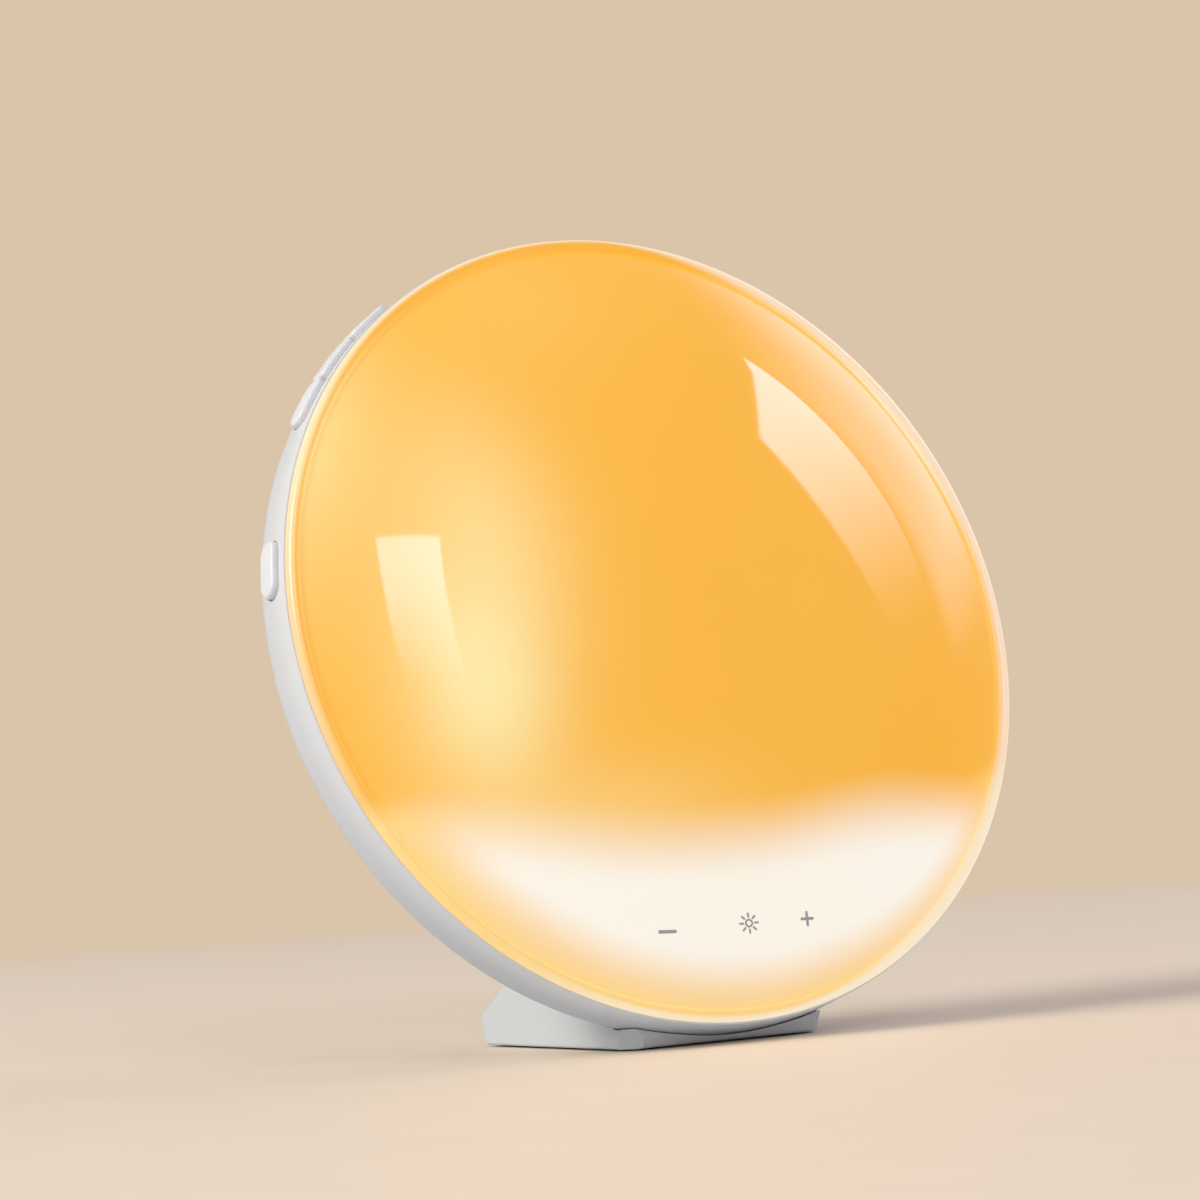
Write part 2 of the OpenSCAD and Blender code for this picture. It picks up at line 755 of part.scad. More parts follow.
// Helical wire as one swept solid: six sides, ring_steps rings a turn.
module helix(r, wire_r, turns, height) {
    ring_steps = 14;
    sides = 6;
    rings = turns * ring_steps;
    points = [
        for (k = [0 : rings], s = [0 : sides - 1])
            let (a = k * 360 / ring_steps, b = s * 360 / sides, rr = r + wire_r * cos(b))
                [rr * cos(a), rr * sin(a), wire_r + (height - 2 * wire_r) * k / rings + wire_r * sin(b)]
    ];
    walls = [
        for (k = [0 : rings - 1], s = [0 : sides - 1])
            let (t = (s + 1) % sides) [k * sides + s, k * sides + t, (k + 1) * sides + t, (k + 1) * sides + s]
    ];
    caps = [[for (s = [0 : sides - 1]) sides - 1 - s], [for (s = [0 : sides - 1]) rings * sides + s]];
    polyhedron(points = points, faces = concat(caps, walls));
}

module touch_springs() {
    color("gold") on_disc() for (k = [-1 : 1]) {
        reach = norm([k * icon_pitch, icon_y]) + spring_r + spring_wire_r;
        translate([k * icon_pitch, icon_y, control_top])
            helix(spring_r, spring_wire_r, spring_turns, dome_h(reach, dome_wall) - seat_gap - control_top);
    }
}

// ---- main board ----

module main_screw_places() {
    for (x = [-1, 1], y = [-1, 1]) translate([x * main_screw_x, y * main_screw_y, 0]) children();
}

module main_board() {
    color(board_green) on_disc() difference() {
        plate([main_board_w, main_board_h], main_back, main_top);
        main_screw_places() rod(hole_r, -far / 4, 0);
    }
}

module main_board_chips() {
    color([0.1, 0.1, 0.1]) on_disc() {
        translate([-chip_x, 10, 0]) plate(clock_chip, main_back - chip_t, main_back);
        translate([chip_x, 8, 0]) plate(driver_chip, main_back - chip_t, main_back);
        translate([chip_x, -8, 0]) plate(driver_chip, main_back - chip_t, main_back);
        translate([-chip_x, -8, 0]) plate(sound_chip, main_back - chip_t, main_back);
    }
}

module capacitor(r) {
    rod(r, main_back - 2.5 * r, main_back);
}

module capacitors() {
    color([0.2, 0.25, 0.45]) on_disc() {
        for (x = [-1, 1]) translate([x * capacitor_x, jack_y, 0]) capacitor(capacitor_r);
        translate([-chip_x, jack_y + 10, 0]) capacitor(small_capacitor_r);
    }
}

module clock_crystal() {
    color("silver") on_disc() translate([-chip_x, 22, main_back - crystal_r - 0.1]) rotate([0, 90, 0])
        cylinder(r = crystal_r, h = 4 * crystal_r, $fn = small_fn);
}

module led_header() {
    color([0.12, 0.12, 0.12]) on_disc() translate([0, led_header_y, 0])
        plate(header_size, main_top, dish_floor);
}

module control_ribbon() {
    color([0.85, 0.82, 0.75]) on_disc() translate([-ribbon_w / 2, 0, 0]) rotate([90, 0, 90])
        linear_extrude(ribbon_w) polygon([
            [ribbon_y, control_back], [ribbon_y, main_top], [-main_screw_y, main_top],
            [-main_screw_y, main_top + ribbon_t], [ribbon_y + ribbon_t, main_top + ribbon_t],
            [ribbon_y + ribbon_t, control_back]
        ]);
}

module main_board_screws() {
    color("silver") on_disc() main_screw_places() screw(main_top, 9, shank_r, 2.4, 1.5, -1);
}

module dc_power_jack() {
    color([0.08, 0.08, 0.09]) on_disc() translate([0, jack_y, 0]) {
        difference() {
            union() {
                plate(jack_size, jack_face + housing_wall, main_back);
                rod(jack_bore_r + 1.1, jack_face, jack_face + 3);
            }
            rod(jack_bore_r, jack_face - 1, jack_face + jack_depth);
        }
        rod(jack_pin_r, jack_face + 0.5, jack_face + jack_depth + 1);
    }
}

// ---- speaker ----

module speaker_gasket() {
    color([0.2, 0.2, 0.2]) on_disc() tube(speaker_r, speaker_r - gasket_w, plateau_in, speaker_back);
}

module speaker_frame() {
    color([0.25, 0.25, 0.27]) on_disc() {
        difference() {
            union() {
                rod_smooth(speaker_r, speaker_back, speaker_back + frame_t);
                around(speaker_ear_angles, speaker_ear_r) rod(3.2, speaker_back, speaker_back + frame_t);
            }
            rod_smooth(speaker_r - 2.6, speaker_back - 1, speaker_back + frame_t + 1);
            around(speaker_ear_angles, speaker_ear_r) rod(1.1, speaker_back - 1, speaker_back + 2);
        }
        difference() {
            rotate_extrude() polygon([
                [speaker_r - 3.4, speaker_back + frame_t - eps],
                [speaker_r - 2, speaker_back + frame_t - eps],
                [magnet_r, basket_top], [magnet_r - 6, basket_top], [magnet_r - 6, basket_top - 1],
                [magnet_r - 1, basket_top - 1]
            ]);
            for (a = [0, 60, 120]) rotate([0, 0, a]) translate([0, 0, speaker_back + 3])
                plate([2 * speaker_r, 9], 0, 4);
        }
    }
}

module rod_smooth(r, h0, h1) {
    translate([0, 0, h0]) cylinder(r = r, h = h1 - h0);
}

module speaker_cone() {
    edge = speaker_r - 2.6;
    cap_r = 7.4;
    cap_h = speaker_back + 9;
    color([0.12, 0.12, 0.12]) on_disc() rotate_extrude() {
        polygon([
            [edge, speaker_back + 0.2], [edge, speaker_back + 0.8], [edge - 2.8, speaker_back + 0.8],
            [5, speaker_back + 6.8], [5, basket_top + 2], [4.2, basket_top + 2],
            [4.2, speaker_back + 6.2], [edge - 3.2, speaker_back + 0.2]
        ]);
        intersection() {
            difference() {
                translate([0, cap_h]) circle(cap_r);
                translate([0, cap_h]) circle(cap_r - 0.5);
            }
            translate([0, speaker_back]) square([6.3, cap_h - speaker_back]);
        }
    }
}

module speaker_magnet() {
    color([0.3, 0.3, 0.32]) on_disc() {
        tube(magnet_r, 6.2, basket_top, magnet_top - 1.4);
        rod_smooth(magnet_r - 1, magnet_top - 1.4, magnet_top);
        rod_smooth(3.8, basket_top - 1.4, magnet_top - 1.4 + eps);
    }
}

module speaker_screws() {
    color("silver") on_disc() around(speaker_ear_angles, speaker_ear_r)
        screw(speaker_back + frame_t, 2, small_shank_r, 2, 1.3, -1);
}

module speaker_leads() {
    color([0.7, 0.1, 0.1]) on_disc() for (x = [-2, 2])
        translate([speaker_r - 1.2, x, 0]) rod(0.5, speaker_back + frame_t, main_back);
}

// ---- battery bay ----

module battery_contacts() {
    color("silver") on_disc() translate([0, bay_y, 0]) {
        plate([6, 16], cell_front, bay_floor);
        translate([-bay_size[0] / 2, -4, cell_front - cell_t]) {
            cube([contact_t, 8, cell_t]);
            translate([0, 0, cell_t / 2]) cube([(bay_size[0] - cell_d) / 2 - 0.1, 8, contact_t]);
        }
    }
}

module coin_cell() {
    color("silver") on_disc() translate([0, bay_y, 0]) {
        rod_smooth(cell_d / 2, cell_front - cell_t, cell_front - 0.8);
        rod_smooth(cell_d / 2 - 1.6, cell_front - 0.9, cell_front);
    }
}

module battery_door() {
    color(white) on_disc() {
        difference() {
            intersection() {
                bay_prism(-slide_gap, -far / 4, -20);
                rotate_extrude() housing_area(0);
            }
            rotate_extrude() housing_area(housing_wall, 1);
            translate([-5, notch_y, bowl_h(notch_y) - 1.3]) rotate([0, 90, 0])
                cylinder(r = 2.4, h = 10, $fn = small_fn);
        }
        for (x = [-1, 1]) translate([x * 6, bay_y, 0]) intersection() {
            plate([1.2, 18], -far / 4, cell_front - cell_t - seat_gap);
            translate([-x * 6, -bay_y, 0]) rotate_extrude() housing_area(housing_wall / 2);
        }
    }
}

// ---- foot ----

module foot_block(inset, from_z) {
    difference() {
        translate([-foot_w, foot_front - 20, from_z]) cube([2 * foot_w, foot_len + 40, foot_top - from_z]);
        for (face = foot_faces) beyond(face[0] - inset * face[1], face[1]);
        on_disc() translate([-far / 2, -far / 2, foot_lip - inset]) cube(far);
    }
}

// Room inside the foot, left smaller all round by gap.
module foot_room(gap) {
    difference() {
        foot_block(foot_wall + gap, foot_z - 1);
        foot_roof(seat_gap + foot_wall + gap);
        beyond([0, plate_front + gap, 0], [0, -1, 0]);
    }
}

module clear_of_housing(gap) {
    on_disc() rotate_extrude() housing_area(-gap, 5);
}

// Underside of the foot's roof: like the housing's outline, with straight stretches along the back.
module foot_roof(gap) {
    on_disc() rotate_extrude() polygon([
        [0, 5], [body_r + gap, 5], [body_r + gap, -side_depth],
        for (t = [45 : 9 : 90])
            [bowl_cr + (bowl_r + gap) * cos(t), bowl_ch - (bowl_r + gap) * sin(t)],
        [0, -back_depth - gap]
    ]);
}

module foot_screw_places() {
    for (x = [-1, 1]) translate([x * foot_screw_x, foot_screw_y, 0]) children();
}

module foot_screw_bosses() {
    intersection() {
        on_disc() foot_screw_places() rod(foot_boss_r, foot_wall_h - 9, 0);
        foot_block(foot_wall / 2, foot_z);
    }
}

module stand_foot() {
    color(white) difference() {
        union() {
            difference() {
                foot_block(0, foot_z);
                foot_room(0);
            }
            foot_screw_bosses();
            intersection() {
                for (p = plate_screws) translate(p) rod(plate_post_r, foot_z + base_plate_t, foot_top);
                foot_block(foot_wall / 2, foot_z);
            }
        }
        clear_of_housing(seat_gap);
        on_disc() foot_screw_places() rod(small_shank_r, foot_wall_h - 8, 0);
        for (p = plate_screws) translate(p) rod(small_shank_r, foot_z, foot_z + base_plate_t + 4.6);
        for (p = pads) translate(p) rod(pad_d / 2 + 0.1, 0, foot_z + pad_sunk);
    }
}

module foot_base_cover() {
    color(white) difference() {
        intersection() {
            foot_room(plate_fit);
            translate([-far / 2, -far / 2, foot_z]) cube([far, far, base_plate_t]);
        }
        for (p = plate_screws) translate(p) {
            rod(small_shank_r + 0.3, 0, 10);
            rod(plate_head_r + 0.2, 0, foot_z + plate_head_h);
        }
        for (p = pads) translate(p) rod(pad_d / 2 + 0.1, 0, foot_z + pad_sunk);
    }
}

module rubber_foot_pads() {
    color([0.2, 0.2, 0.2]) for (p = pads) translate(p) rod_smooth(pad_d / 2, 0, foot_z + pad_sunk);
}

module foot_cover_screws() {
    color("silver") for (p = plate_screws) translate(p)
        screw(foot_z + plate_head_h, 5, small_shank_r, plate_head_r, 1, 1);
}

module foot_mount_screws() {
    color("silver") on_disc() foot_screw_places()
        screw(foot_seat_h, foot_seat_h - foot_wall_h + 7, small_shank_r, 2.6, 1.6, -1);
}

module housing_screws() {
    color("silver") on_disc() around(dome_screw_angles, dome_screw_r)
        screw(boss_foot - ledge_t, 10, dome_shank_r, 2.8, 1.8, 1);
}

// ---- left and right side of the wall ----

module left() {
    on_disc() mirror([1, 0, 0]) children();
}

module right() {
    on_disc() children();
}

front_diffuser();
rear_housing();
stand_foot();
foot_base_cover();
rubber_foot_pads();
foot_cover_screws();
foot_mount_screws();
housing_screws();
left() side_button(lone_place);  // left_lone_button
left() side_button(upper_place);  // left_upper_button
left() side_button(middle_place);  // left_middle_button
left() side_button(lower_place);  // left_lower_button
right() side_button(lone_place);  // right_lone_button
right() side_button(upper_place);  // right_upper_button
right() side_button(middle_place);  // right_middle_button
right() side_button(lower_place);  // right_lower_button
left() switch_plunger(lone_place);  // left_lone_plunger
left() switch_plunger(upper_place);  // left_upper_plunger
left() switch_plunger(middle_place);  // left_middle_plunger
left() switch_plunger(lower_place);  // left_lower_plunger
right() switch_plunger(lone_place);  // right_lone_plunger
right() switch_plunger(upper_place);  // right_upper_plunger
right() switch_plunger(middle_place);  // right_middle_plunger
right() switch_plunger(lower_place);  // right_lower_plunger
left() switch_cases();  // left_switch_cases
right() switch_cases();  // right_switch_cases
left() switch_board();  // left_switch_board
right() switch_board();  // right_switch_board
switch_board_screws();
left() switch_ribbon();  // left_switch_ribbon
right() switch_ribbon();  // right_switch_ribbon
reflector_tray();
tray_screws();
led_board();
warm_white_leds();
color_leds();
led_board_screws();
control_board();
display_module();
display_segments();
display_panel_leds();
touch_springs();
light_shield();
main_board();
main_board_chips();
capacitors();
clock_crystal();
led_header();
control_ribbon();
main_board_screws();
dc_power_jack();
speaker_gasket();
speaker_frame();
speaker_cone();
speaker_magnet();
speaker_screws();
speaker_leads();
battery_contacts();
coin_cell();
battery_door();
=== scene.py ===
"""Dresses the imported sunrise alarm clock: its lit opal dome, white shell, side keys, wedge foot,
touch marks and inner pieces, on a plain pale floor in soft light."""

import json
import math

import bmesh
import bpy
from mathutils import Matrix, Vector


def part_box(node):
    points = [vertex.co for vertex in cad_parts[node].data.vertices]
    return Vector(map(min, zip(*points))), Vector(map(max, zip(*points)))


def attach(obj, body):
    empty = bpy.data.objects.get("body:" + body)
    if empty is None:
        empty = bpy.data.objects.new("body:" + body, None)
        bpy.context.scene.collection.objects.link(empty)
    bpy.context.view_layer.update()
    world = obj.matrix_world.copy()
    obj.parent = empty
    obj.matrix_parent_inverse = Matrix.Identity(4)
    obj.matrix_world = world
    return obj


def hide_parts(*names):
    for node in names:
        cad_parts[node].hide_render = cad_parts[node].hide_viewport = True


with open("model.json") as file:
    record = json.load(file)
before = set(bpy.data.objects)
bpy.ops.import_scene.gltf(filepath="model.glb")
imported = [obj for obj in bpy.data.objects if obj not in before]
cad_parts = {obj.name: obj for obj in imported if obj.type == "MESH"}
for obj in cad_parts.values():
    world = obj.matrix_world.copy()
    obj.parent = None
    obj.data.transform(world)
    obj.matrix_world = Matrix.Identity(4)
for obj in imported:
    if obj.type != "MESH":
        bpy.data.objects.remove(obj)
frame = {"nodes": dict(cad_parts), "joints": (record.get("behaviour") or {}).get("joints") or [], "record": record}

bl_info = {
    "name": "Sunrise alarm clock",
    "version": (1, 0, 0),
    "blender": (4, 5, 0),
    "location": "3D View > Sidebar > Clock",
    "description": "Builds the looks of a round sunrise alarm clock around its packed parts",
    "category": "Object",
}

MM = 0.001
IMAGE = 1200          # pixels along a side of the square render
FOCAL = 4585 / IMAGE  # the camera's focal length as a share of the render's side
CAMERA_YAW = math.radians(31.4)
CAMERA_PITCH = math.radians(2.0)
CAMERA_ROLL = math.radians(-3.7)
CAMERA_FROM_DISC = Vector((-0.5316, -0.8465, -0.0292))  # metres, from the disc's middle
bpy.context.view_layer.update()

# The disc frame: z runs out of the dome, y runs up along the rim plane, z = 0 is the joint
# between the dome and the housing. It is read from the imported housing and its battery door.
DOOR = next(j for j in frame["joints"] if j["name"] == "battery_door_lift")
LEAN = -math.asin(DOOR["axis"][2])
HOUSING_LOW, HOUSING_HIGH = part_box("rear_housing")
BODY_R = (HOUSING_HIGH.x - HOUSING_LOW.x) / 2
DOME_LOW, DOME_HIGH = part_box("front_diffuser")
RIM_R = (DOME_HIGH.x - DOME_LOW.x) / 2
DISC = Vector((0, HOUSING_LOW.y + BODY_R * math.sin(LEAN), HOUSING_HIGH.z - BODY_R * math.cos(LEAN)))
ON_DISC = Matrix.Translation(DISC) @ Matrix.Rotation(math.pi / 2 - LEAN, 4, "X")


def tone(red, green, blue):
    """A colour given as 0 to 255 screen values, as the linear values that shaders take."""
    def linear(value):
        value /= 255
        return value / 12.92 if value <= 0.04045 else ((value + 0.055) / 1.055) ** 2.4
    return (linear(red), linear(green), linear(blue))


def size(name, description, millimetres):
    return bpy.props.FloatProperty(
        name=name, description=description, default=millimetres * MM, min=0, unit="LENGTH", precision=5)


def angle(name, description, degrees):
    return bpy.props.FloatProperty(
        name=name, description=description, default=math.radians(degrees), subtype="ANGLE")


def amount(name, description, value):
    return bpy.props.FloatProperty(name=name, description=description, default=value, min=0)


def colour(name, description, red, green, blue):
    return bpy.props.FloatVectorProperty(
        name=name, description=description, default=tone(red, green, blue), subtype="COLOR", size=3)


class ClockSizes(bpy.types.PropertyGroup):
    """Sizes of the pieces that this script models."""

    crown_r: size("Crown radius", "Radius of curvature of the dome's middle", 230)
    shoulder_r: size("Shoulder radius", "Radius of curvature of the dome's shoulder", 90)
    joint_r: size("Joint radius", "Where the dome's middle turns into its shoulder", 60)
    dome_wall: size("Dome wall", "Thickness of the opal dome", 2)
    bead_w: size("Bead width", "Width of the rounded bead round the dome", 2.6)
    crease_h: size("Crease height", "Height of the crease between dome and bead over the joint", 1.4)
    bead_h: size("Bead height", "Height of the bead's centre over the joint", 1.0)
    lip_depth: size("Lip depth", "Depth of the lip that centres the dome in the housing", 1.6)
    lip_inset: size("Lip inset", "Distance from the side wall in to the lip", 2.4)
    lip_wall: size("Lip wall", "Thickness of the lip", 1.8)
    boss_place: size("Boss place", "Distance of a screw boss from the disc's middle", 79)
    boss_r: size("Boss radius", "Radius of a screw boss inside the dome", 3.2)
    boss_bore: size("Boss bore", "Radius of the hole in a screw boss", 1.2)
    boss_drop: size("Boss drop", "How far a screw boss reaches behind the joint", 12.2)
    boss_hole: size("Boss hole", "Depth of the hole in a screw boss", 9)
    boss_edge: size("Boss edge", "Width of the chamfer at a screw boss's end", 0.3)
    key_length: size("Key length", "Length of a side key along the wall", 12.7)
    key_width: size("Key width", "Width of a side key across the wall", 5.9)
    key_proud: size("Key height", "How far a side key stands out of the wall", 1.5)
    key_depth: size("Key depth", "Distance from the joint to the keys' centre line", 5.75)
    key_round: size("Key edge", "Radius of a side key's outer edge", 0.7)
    key_corner: size("Key corner", "Corner radius where two keys of the row meet", 1.6)
    key_root: size("Key root", "Radius at which a key's cap starts inside the wall", 87.3)
    flange_grow: size("Key flange", "How far a key's flange reaches past its cap", 0.9)
    flange_t: size("Flange thickness", "Thickness of a key's flange", 1.2)
    flange_inset: size("Flange inset", "Distance from the side wall in to a key's flange", 2.5)
    lone_angle: angle("Lone key", "Height of the lone key as an angle above the disc's middle", 11)
    row_angle: angle("Key row", "Height of the row of keys as an angle above the disc's middle", 45.2)
    row_gap: size("Row gap", "Gap between the keys of the row", 0.45)
    foot_edge: size("Foot edge", "Radius of the foot's outer edges", 0.7)
    mark_y: size("Mark height", "How far the touch marks lie below the disc's middle", 71.2)
    minus_left: size("Minus mark", "How far the minus mark lies left of the disc's middle", 20.8)
    sun_left: size("Sun mark", "How far the sun mark lies left of the disc's middle", 1.1)
    plus_right: size("Plus mark", "How far the plus mark lies right of the disc's middle", 14.1)
    mark_line: size("Mark line", "Width of the plus mark's bars", 0.68)
    plus_length: size("Plus length", "Length of the plus mark's bars", 3.6)
    minus_length: size("Minus length", "Length of the minus mark", 4.3)
    minus_line: size("Minus line", "Width of the minus mark", 0.8)
    minus_turn: angle("Minus turn", "How far the minus mark turns clockwise", 5)
    sun_ring_r: size("Sun ring", "Radius of the sun mark's ring", 0.8)
    sun_ring_line: size("Sun ring line", "Width of the sun mark's ring", 0.45)
    ray_place: size("Ray place", "Distance from the sun mark's middle to the middle of a ray", 1.85)
    ray_length: size("Ray length", "Length of a ray of the sun mark", 1.25)
    ray_line: size("Ray line", "Width of a ray of the sun mark", 0.5)
    mark_film: size("Ink film", "Thickness of the printed marks", 0.04)
    mark_squat: amount("Mark height share", "Height of the marks as a share of their width", 0.86)
    mark_slant: amount("Mark slant", "How far the marks lean to the left, as a share of their height", 0.14)


class ClockColours(bpy.types.PropertyGroup):
    """Colours of the lit dome and the plastics."""

    amber: colour("Amber", "Lit dome away from the lamps", 251, 184, 65)
    # Deep amber also paints shade into the crease between dome and bead.
    deep_amber: colour("Deep amber", "Lit dome at its lower right and in its crease", 251, 180, 52)
    lemon: colour("Lemon", "Lit dome in front of the brightest lamps", 253, 255, 199)
    # Cream also paints a highlight on the rim bead's outer flank.
    cream: colour("Cream", "Lit display zone and rim bead", 252, 245, 230)
    peach: colour("Peach", "Lit dome below the display zone", 251, 214, 136)
    shell: colour("Shell", "White moulded plastic", 205, 205, 203)
    key: colour("Keys", "White plastic of the side keys", 222, 222, 220)
    # The shell's glow below is painted light: it lights the shell beside the joint and fades towards the back.
    painted_shell_glow: colour("Leak", "Light of the dome that shows through the shell beside the joint", 84, 83, 80)
    ink: colour("Ink", "Printed touch marks", 176, 174, 172)
    floor: colour("Floor", "Pale floor", 238, 219, 193)
    backdrop: colour("Backdrop", "Pale wall behind the floor", 218, 197, 170)


class ClockLight(bpy.types.PropertyGroup):
    """Strength of the dome's glow and of the studio lights."""

    glow: amount("Glow", "Strength of the lit dome", 0.757)
    dome_base: amount("Dome base", "Share of its colour that the dome shows by the room's light", 0.3)
    room: amount("Room", "Strength of the even light all round", 0.41)
    key_box: amount("Key softbox", "Brightness of the wide softbox on the clock's left", 18)
    left_box: amount("Left softbox", "Brightness of the softbox ahead of the clock", 8.4)
    right_box: amount("Right softbox", "Brightness of the softbox on the clock's right", 8.4)
    box_tint: colour("Softbox tint", "Colour of the three softboxes that the dome mirrors", 218, 217, 255)
    rim_box: amount("Rim softbox", "Brightness of the wide softbox behind the clock's right", 1.9)


# ---- meshes ----

def arc(centre, radius, start, end, steps):
    """Points (r, h) of an arc between two angles in degrees."""
    turn = [math.radians(start + (end - start) * k / steps) for k in range(steps + 1)]
    return [(centre[0] + radius * math.cos(t), centre[1] + radius * math.sin(t)) for t in turn]


def spun(bm, outline, steps):
    """Turns an open outline of (r, h) points round the disc's axis."""
    verts = [bm.verts.new((r, 0, h)) for r, h in outline]
    edges = [bm.edges.new(pair) for pair in zip(verts, verts[1:])]
    bmesh.ops.spin(bm, geom=verts + edges, cent=(0, 0, 0), axis=(0, 0, 1),
                   angle=2 * math.pi, steps=steps, use_merge=True)
    bmesh.ops.remove_doubles(bm, verts=bm.verts, dist=1e-6)


def piece(name, bm, body, material, replaced=(), crease=math.radians(32), place=ON_DISC):
    """Makes a finished object of a mesh drawn in the disc frame."""
    bmesh.ops.transform(bm, matrix=place, verts=bm.verts)
    mesh = bpy.data.meshes.new(name)
    bm.to_mesh(mesh)
    bm.free()
    mesh.polygons.foreach_set("use_smooth", [True] * len(mesh.polygons))
    mesh.set_sharp_from_angle(angle=crease)
    mesh.materials.append(material)
    made = bpy.data.objects.new(name, mesh)
    bpy.context.scene.collection.objects.link(made)
    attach(made, body)
    if replaced:
        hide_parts(*replaced)
    return made


def add_mesh(bm, part):
    """Adds a finished part to a mesh and frees it."""
    made = bpy.data.meshes.new("part")
    part.to_mesh(made)
    part.free()
    bm.from_mesh(made)
    bpy.data.meshes.remove(made)


def merged_copy(node):
    """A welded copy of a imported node's mesh, with its flat faces made whole."""
    bm = bmesh.new()
    bm.from_mesh(frame["nodes"][node].data)
    bmesh.ops.remove_doubles(bm, verts=bm.verts, dist=2e-6)
    bmesh.ops.dissolve_limit(bm, angle_limit=math.radians(0.3), verts=bm.verts, edges=bm.edges)
    return bm


class Dome:
    """The dome's outer form, as height over the joint at a radius."""

    def __init__(self, sizes):
        self.crease_r = RIM_R - sizes.bead_w
        self.slope = math.asin(sizes.joint_r / sizes.crown_r)
        self.shoulder = (
            sizes.joint_r - sizes.shoulder_r * math.sin(self.slope),
            sizes.crease_h - math.sqrt(
                sizes.shoulder_r ** 2
                - (self.crease_r - sizes.joint_r + sizes.shoulder_r * math.sin(self.slope)) ** 2))
        self.crown_h = self.shoulder[1] - (sizes.crown_r - sizes.shoulder_r) * math.cos(self.slope)
        self.sizes = sizes

    def height(self, r):
        if r < self.sizes.joint_r:
            return self.crown_h + math.sqrt(self.sizes.crown_r ** 2 - r * r)
        return self.shoulder[1] + math.sqrt(self.sizes.shoulder_r ** 2 - (r - self.shoulder[0]) ** 2)

    def face(self, inset, end_r):
        """Outline from the axis to end_r, moved in by inset."""
        steep = math.degrees(self.slope)
        crown = arc((0, self.crown_h), self.sizes.crown_r - inset, 90, 90 - steep, 14)
        radius = self.sizes.shoulder_r - inset
        last = math.degrees(math.acos((end_r - self.shoulder[0]) / radius))
        return crown + arc(self.shoulder, radius, 90 - steep, last, 30)[1:]


# ---- materials ----

class Tree:
    """Short ways to write shader nodes in one tree."""

    def __init__(self, tree):
        self.tree = tree
        self.nodes = tree.nodes
        self.links = tree.links

    def node(self, kind, **settings):
        made = self.nodes.new(kind)
        for key, value in settings.items():
            setattr(made, key, value)
        return made

    def join(self, value, socket):
        """Feeds a socket with another node's output or a plain value."""
        if isinstance(value, bpy.types.NodeSocket):
            self.links.new(value, socket)
        else:
            socket.default_value = value

    def sum(self, operation, first, second=0.0):
        made = self.node("ShaderNodeMath", operation=operation)
        self.join(first, made.inputs[0])
        self.join(second, made.inputs[1])
        return made.outputs[0]

    def smooth(self, value, low, high):
        """Rises smoothly from 0 at low to 1 at high, or falls where low is above high."""
        made = self.node("ShaderNodeMapRange", interpolation_type="SMOOTHSTEP")
        self.join(value, made.inputs["Value"])
        self.join(low, made.inputs["From Min"])
        self.join(high, made.inputs["From Max"])
        return made.outputs["Result"]

    def spot(self, x, y, centre, reach):
        """A soft round spot: 1 at its centre, and a third at its reach."""
        across = self.sum("DIVIDE", self.sum("SUBTRACT", x, centre[0] * MM), reach[0] * MM)
        along = self.sum("DIVIDE", self.sum("SUBTRACT", y, centre[1] * MM), reach[1] * MM)
        square = self.sum("ADD", self.sum("MULTIPLY", across, across), self.sum("MULTIPLY", along, along))
        return self.sum("POWER", math.e, self.sum("MULTIPLY", square, -1.0))

    def mix(self, share, under, over):
        made = self.node("ShaderNodeMix", data_type="RGBA")
        self.join(share, made.inputs["Factor"])
        self.join(under, made.inputs["A"])
        self.join(over, made.inputs["B"])
        return made.outputs["Result"]

    def disc_axes(self):
        """The surface's place in the disc frame: right, up and out of the dome."""
        on_disc = self.node("ShaderNodeMapping", vector_type="TEXTURE")
        self.join(self.node("ShaderNodeTexCoord").outputs["Object"], on_disc.inputs["Vector"])
        on_disc.inputs["Location"].default_value = DISC
        on_disc.inputs["Rotation"].default_value = (math.pi / 2 - LEAN, 0, 0)
        axes = self.node("ShaderNodeSeparateXYZ")
        self.join(on_disc.outputs["Vector"], axes.inputs["Vector"])
        return axes.outputs["X"], axes.outputs["Y"], axes.outputs["Z"]


def rgba(value):
    return (*value, 1.0)


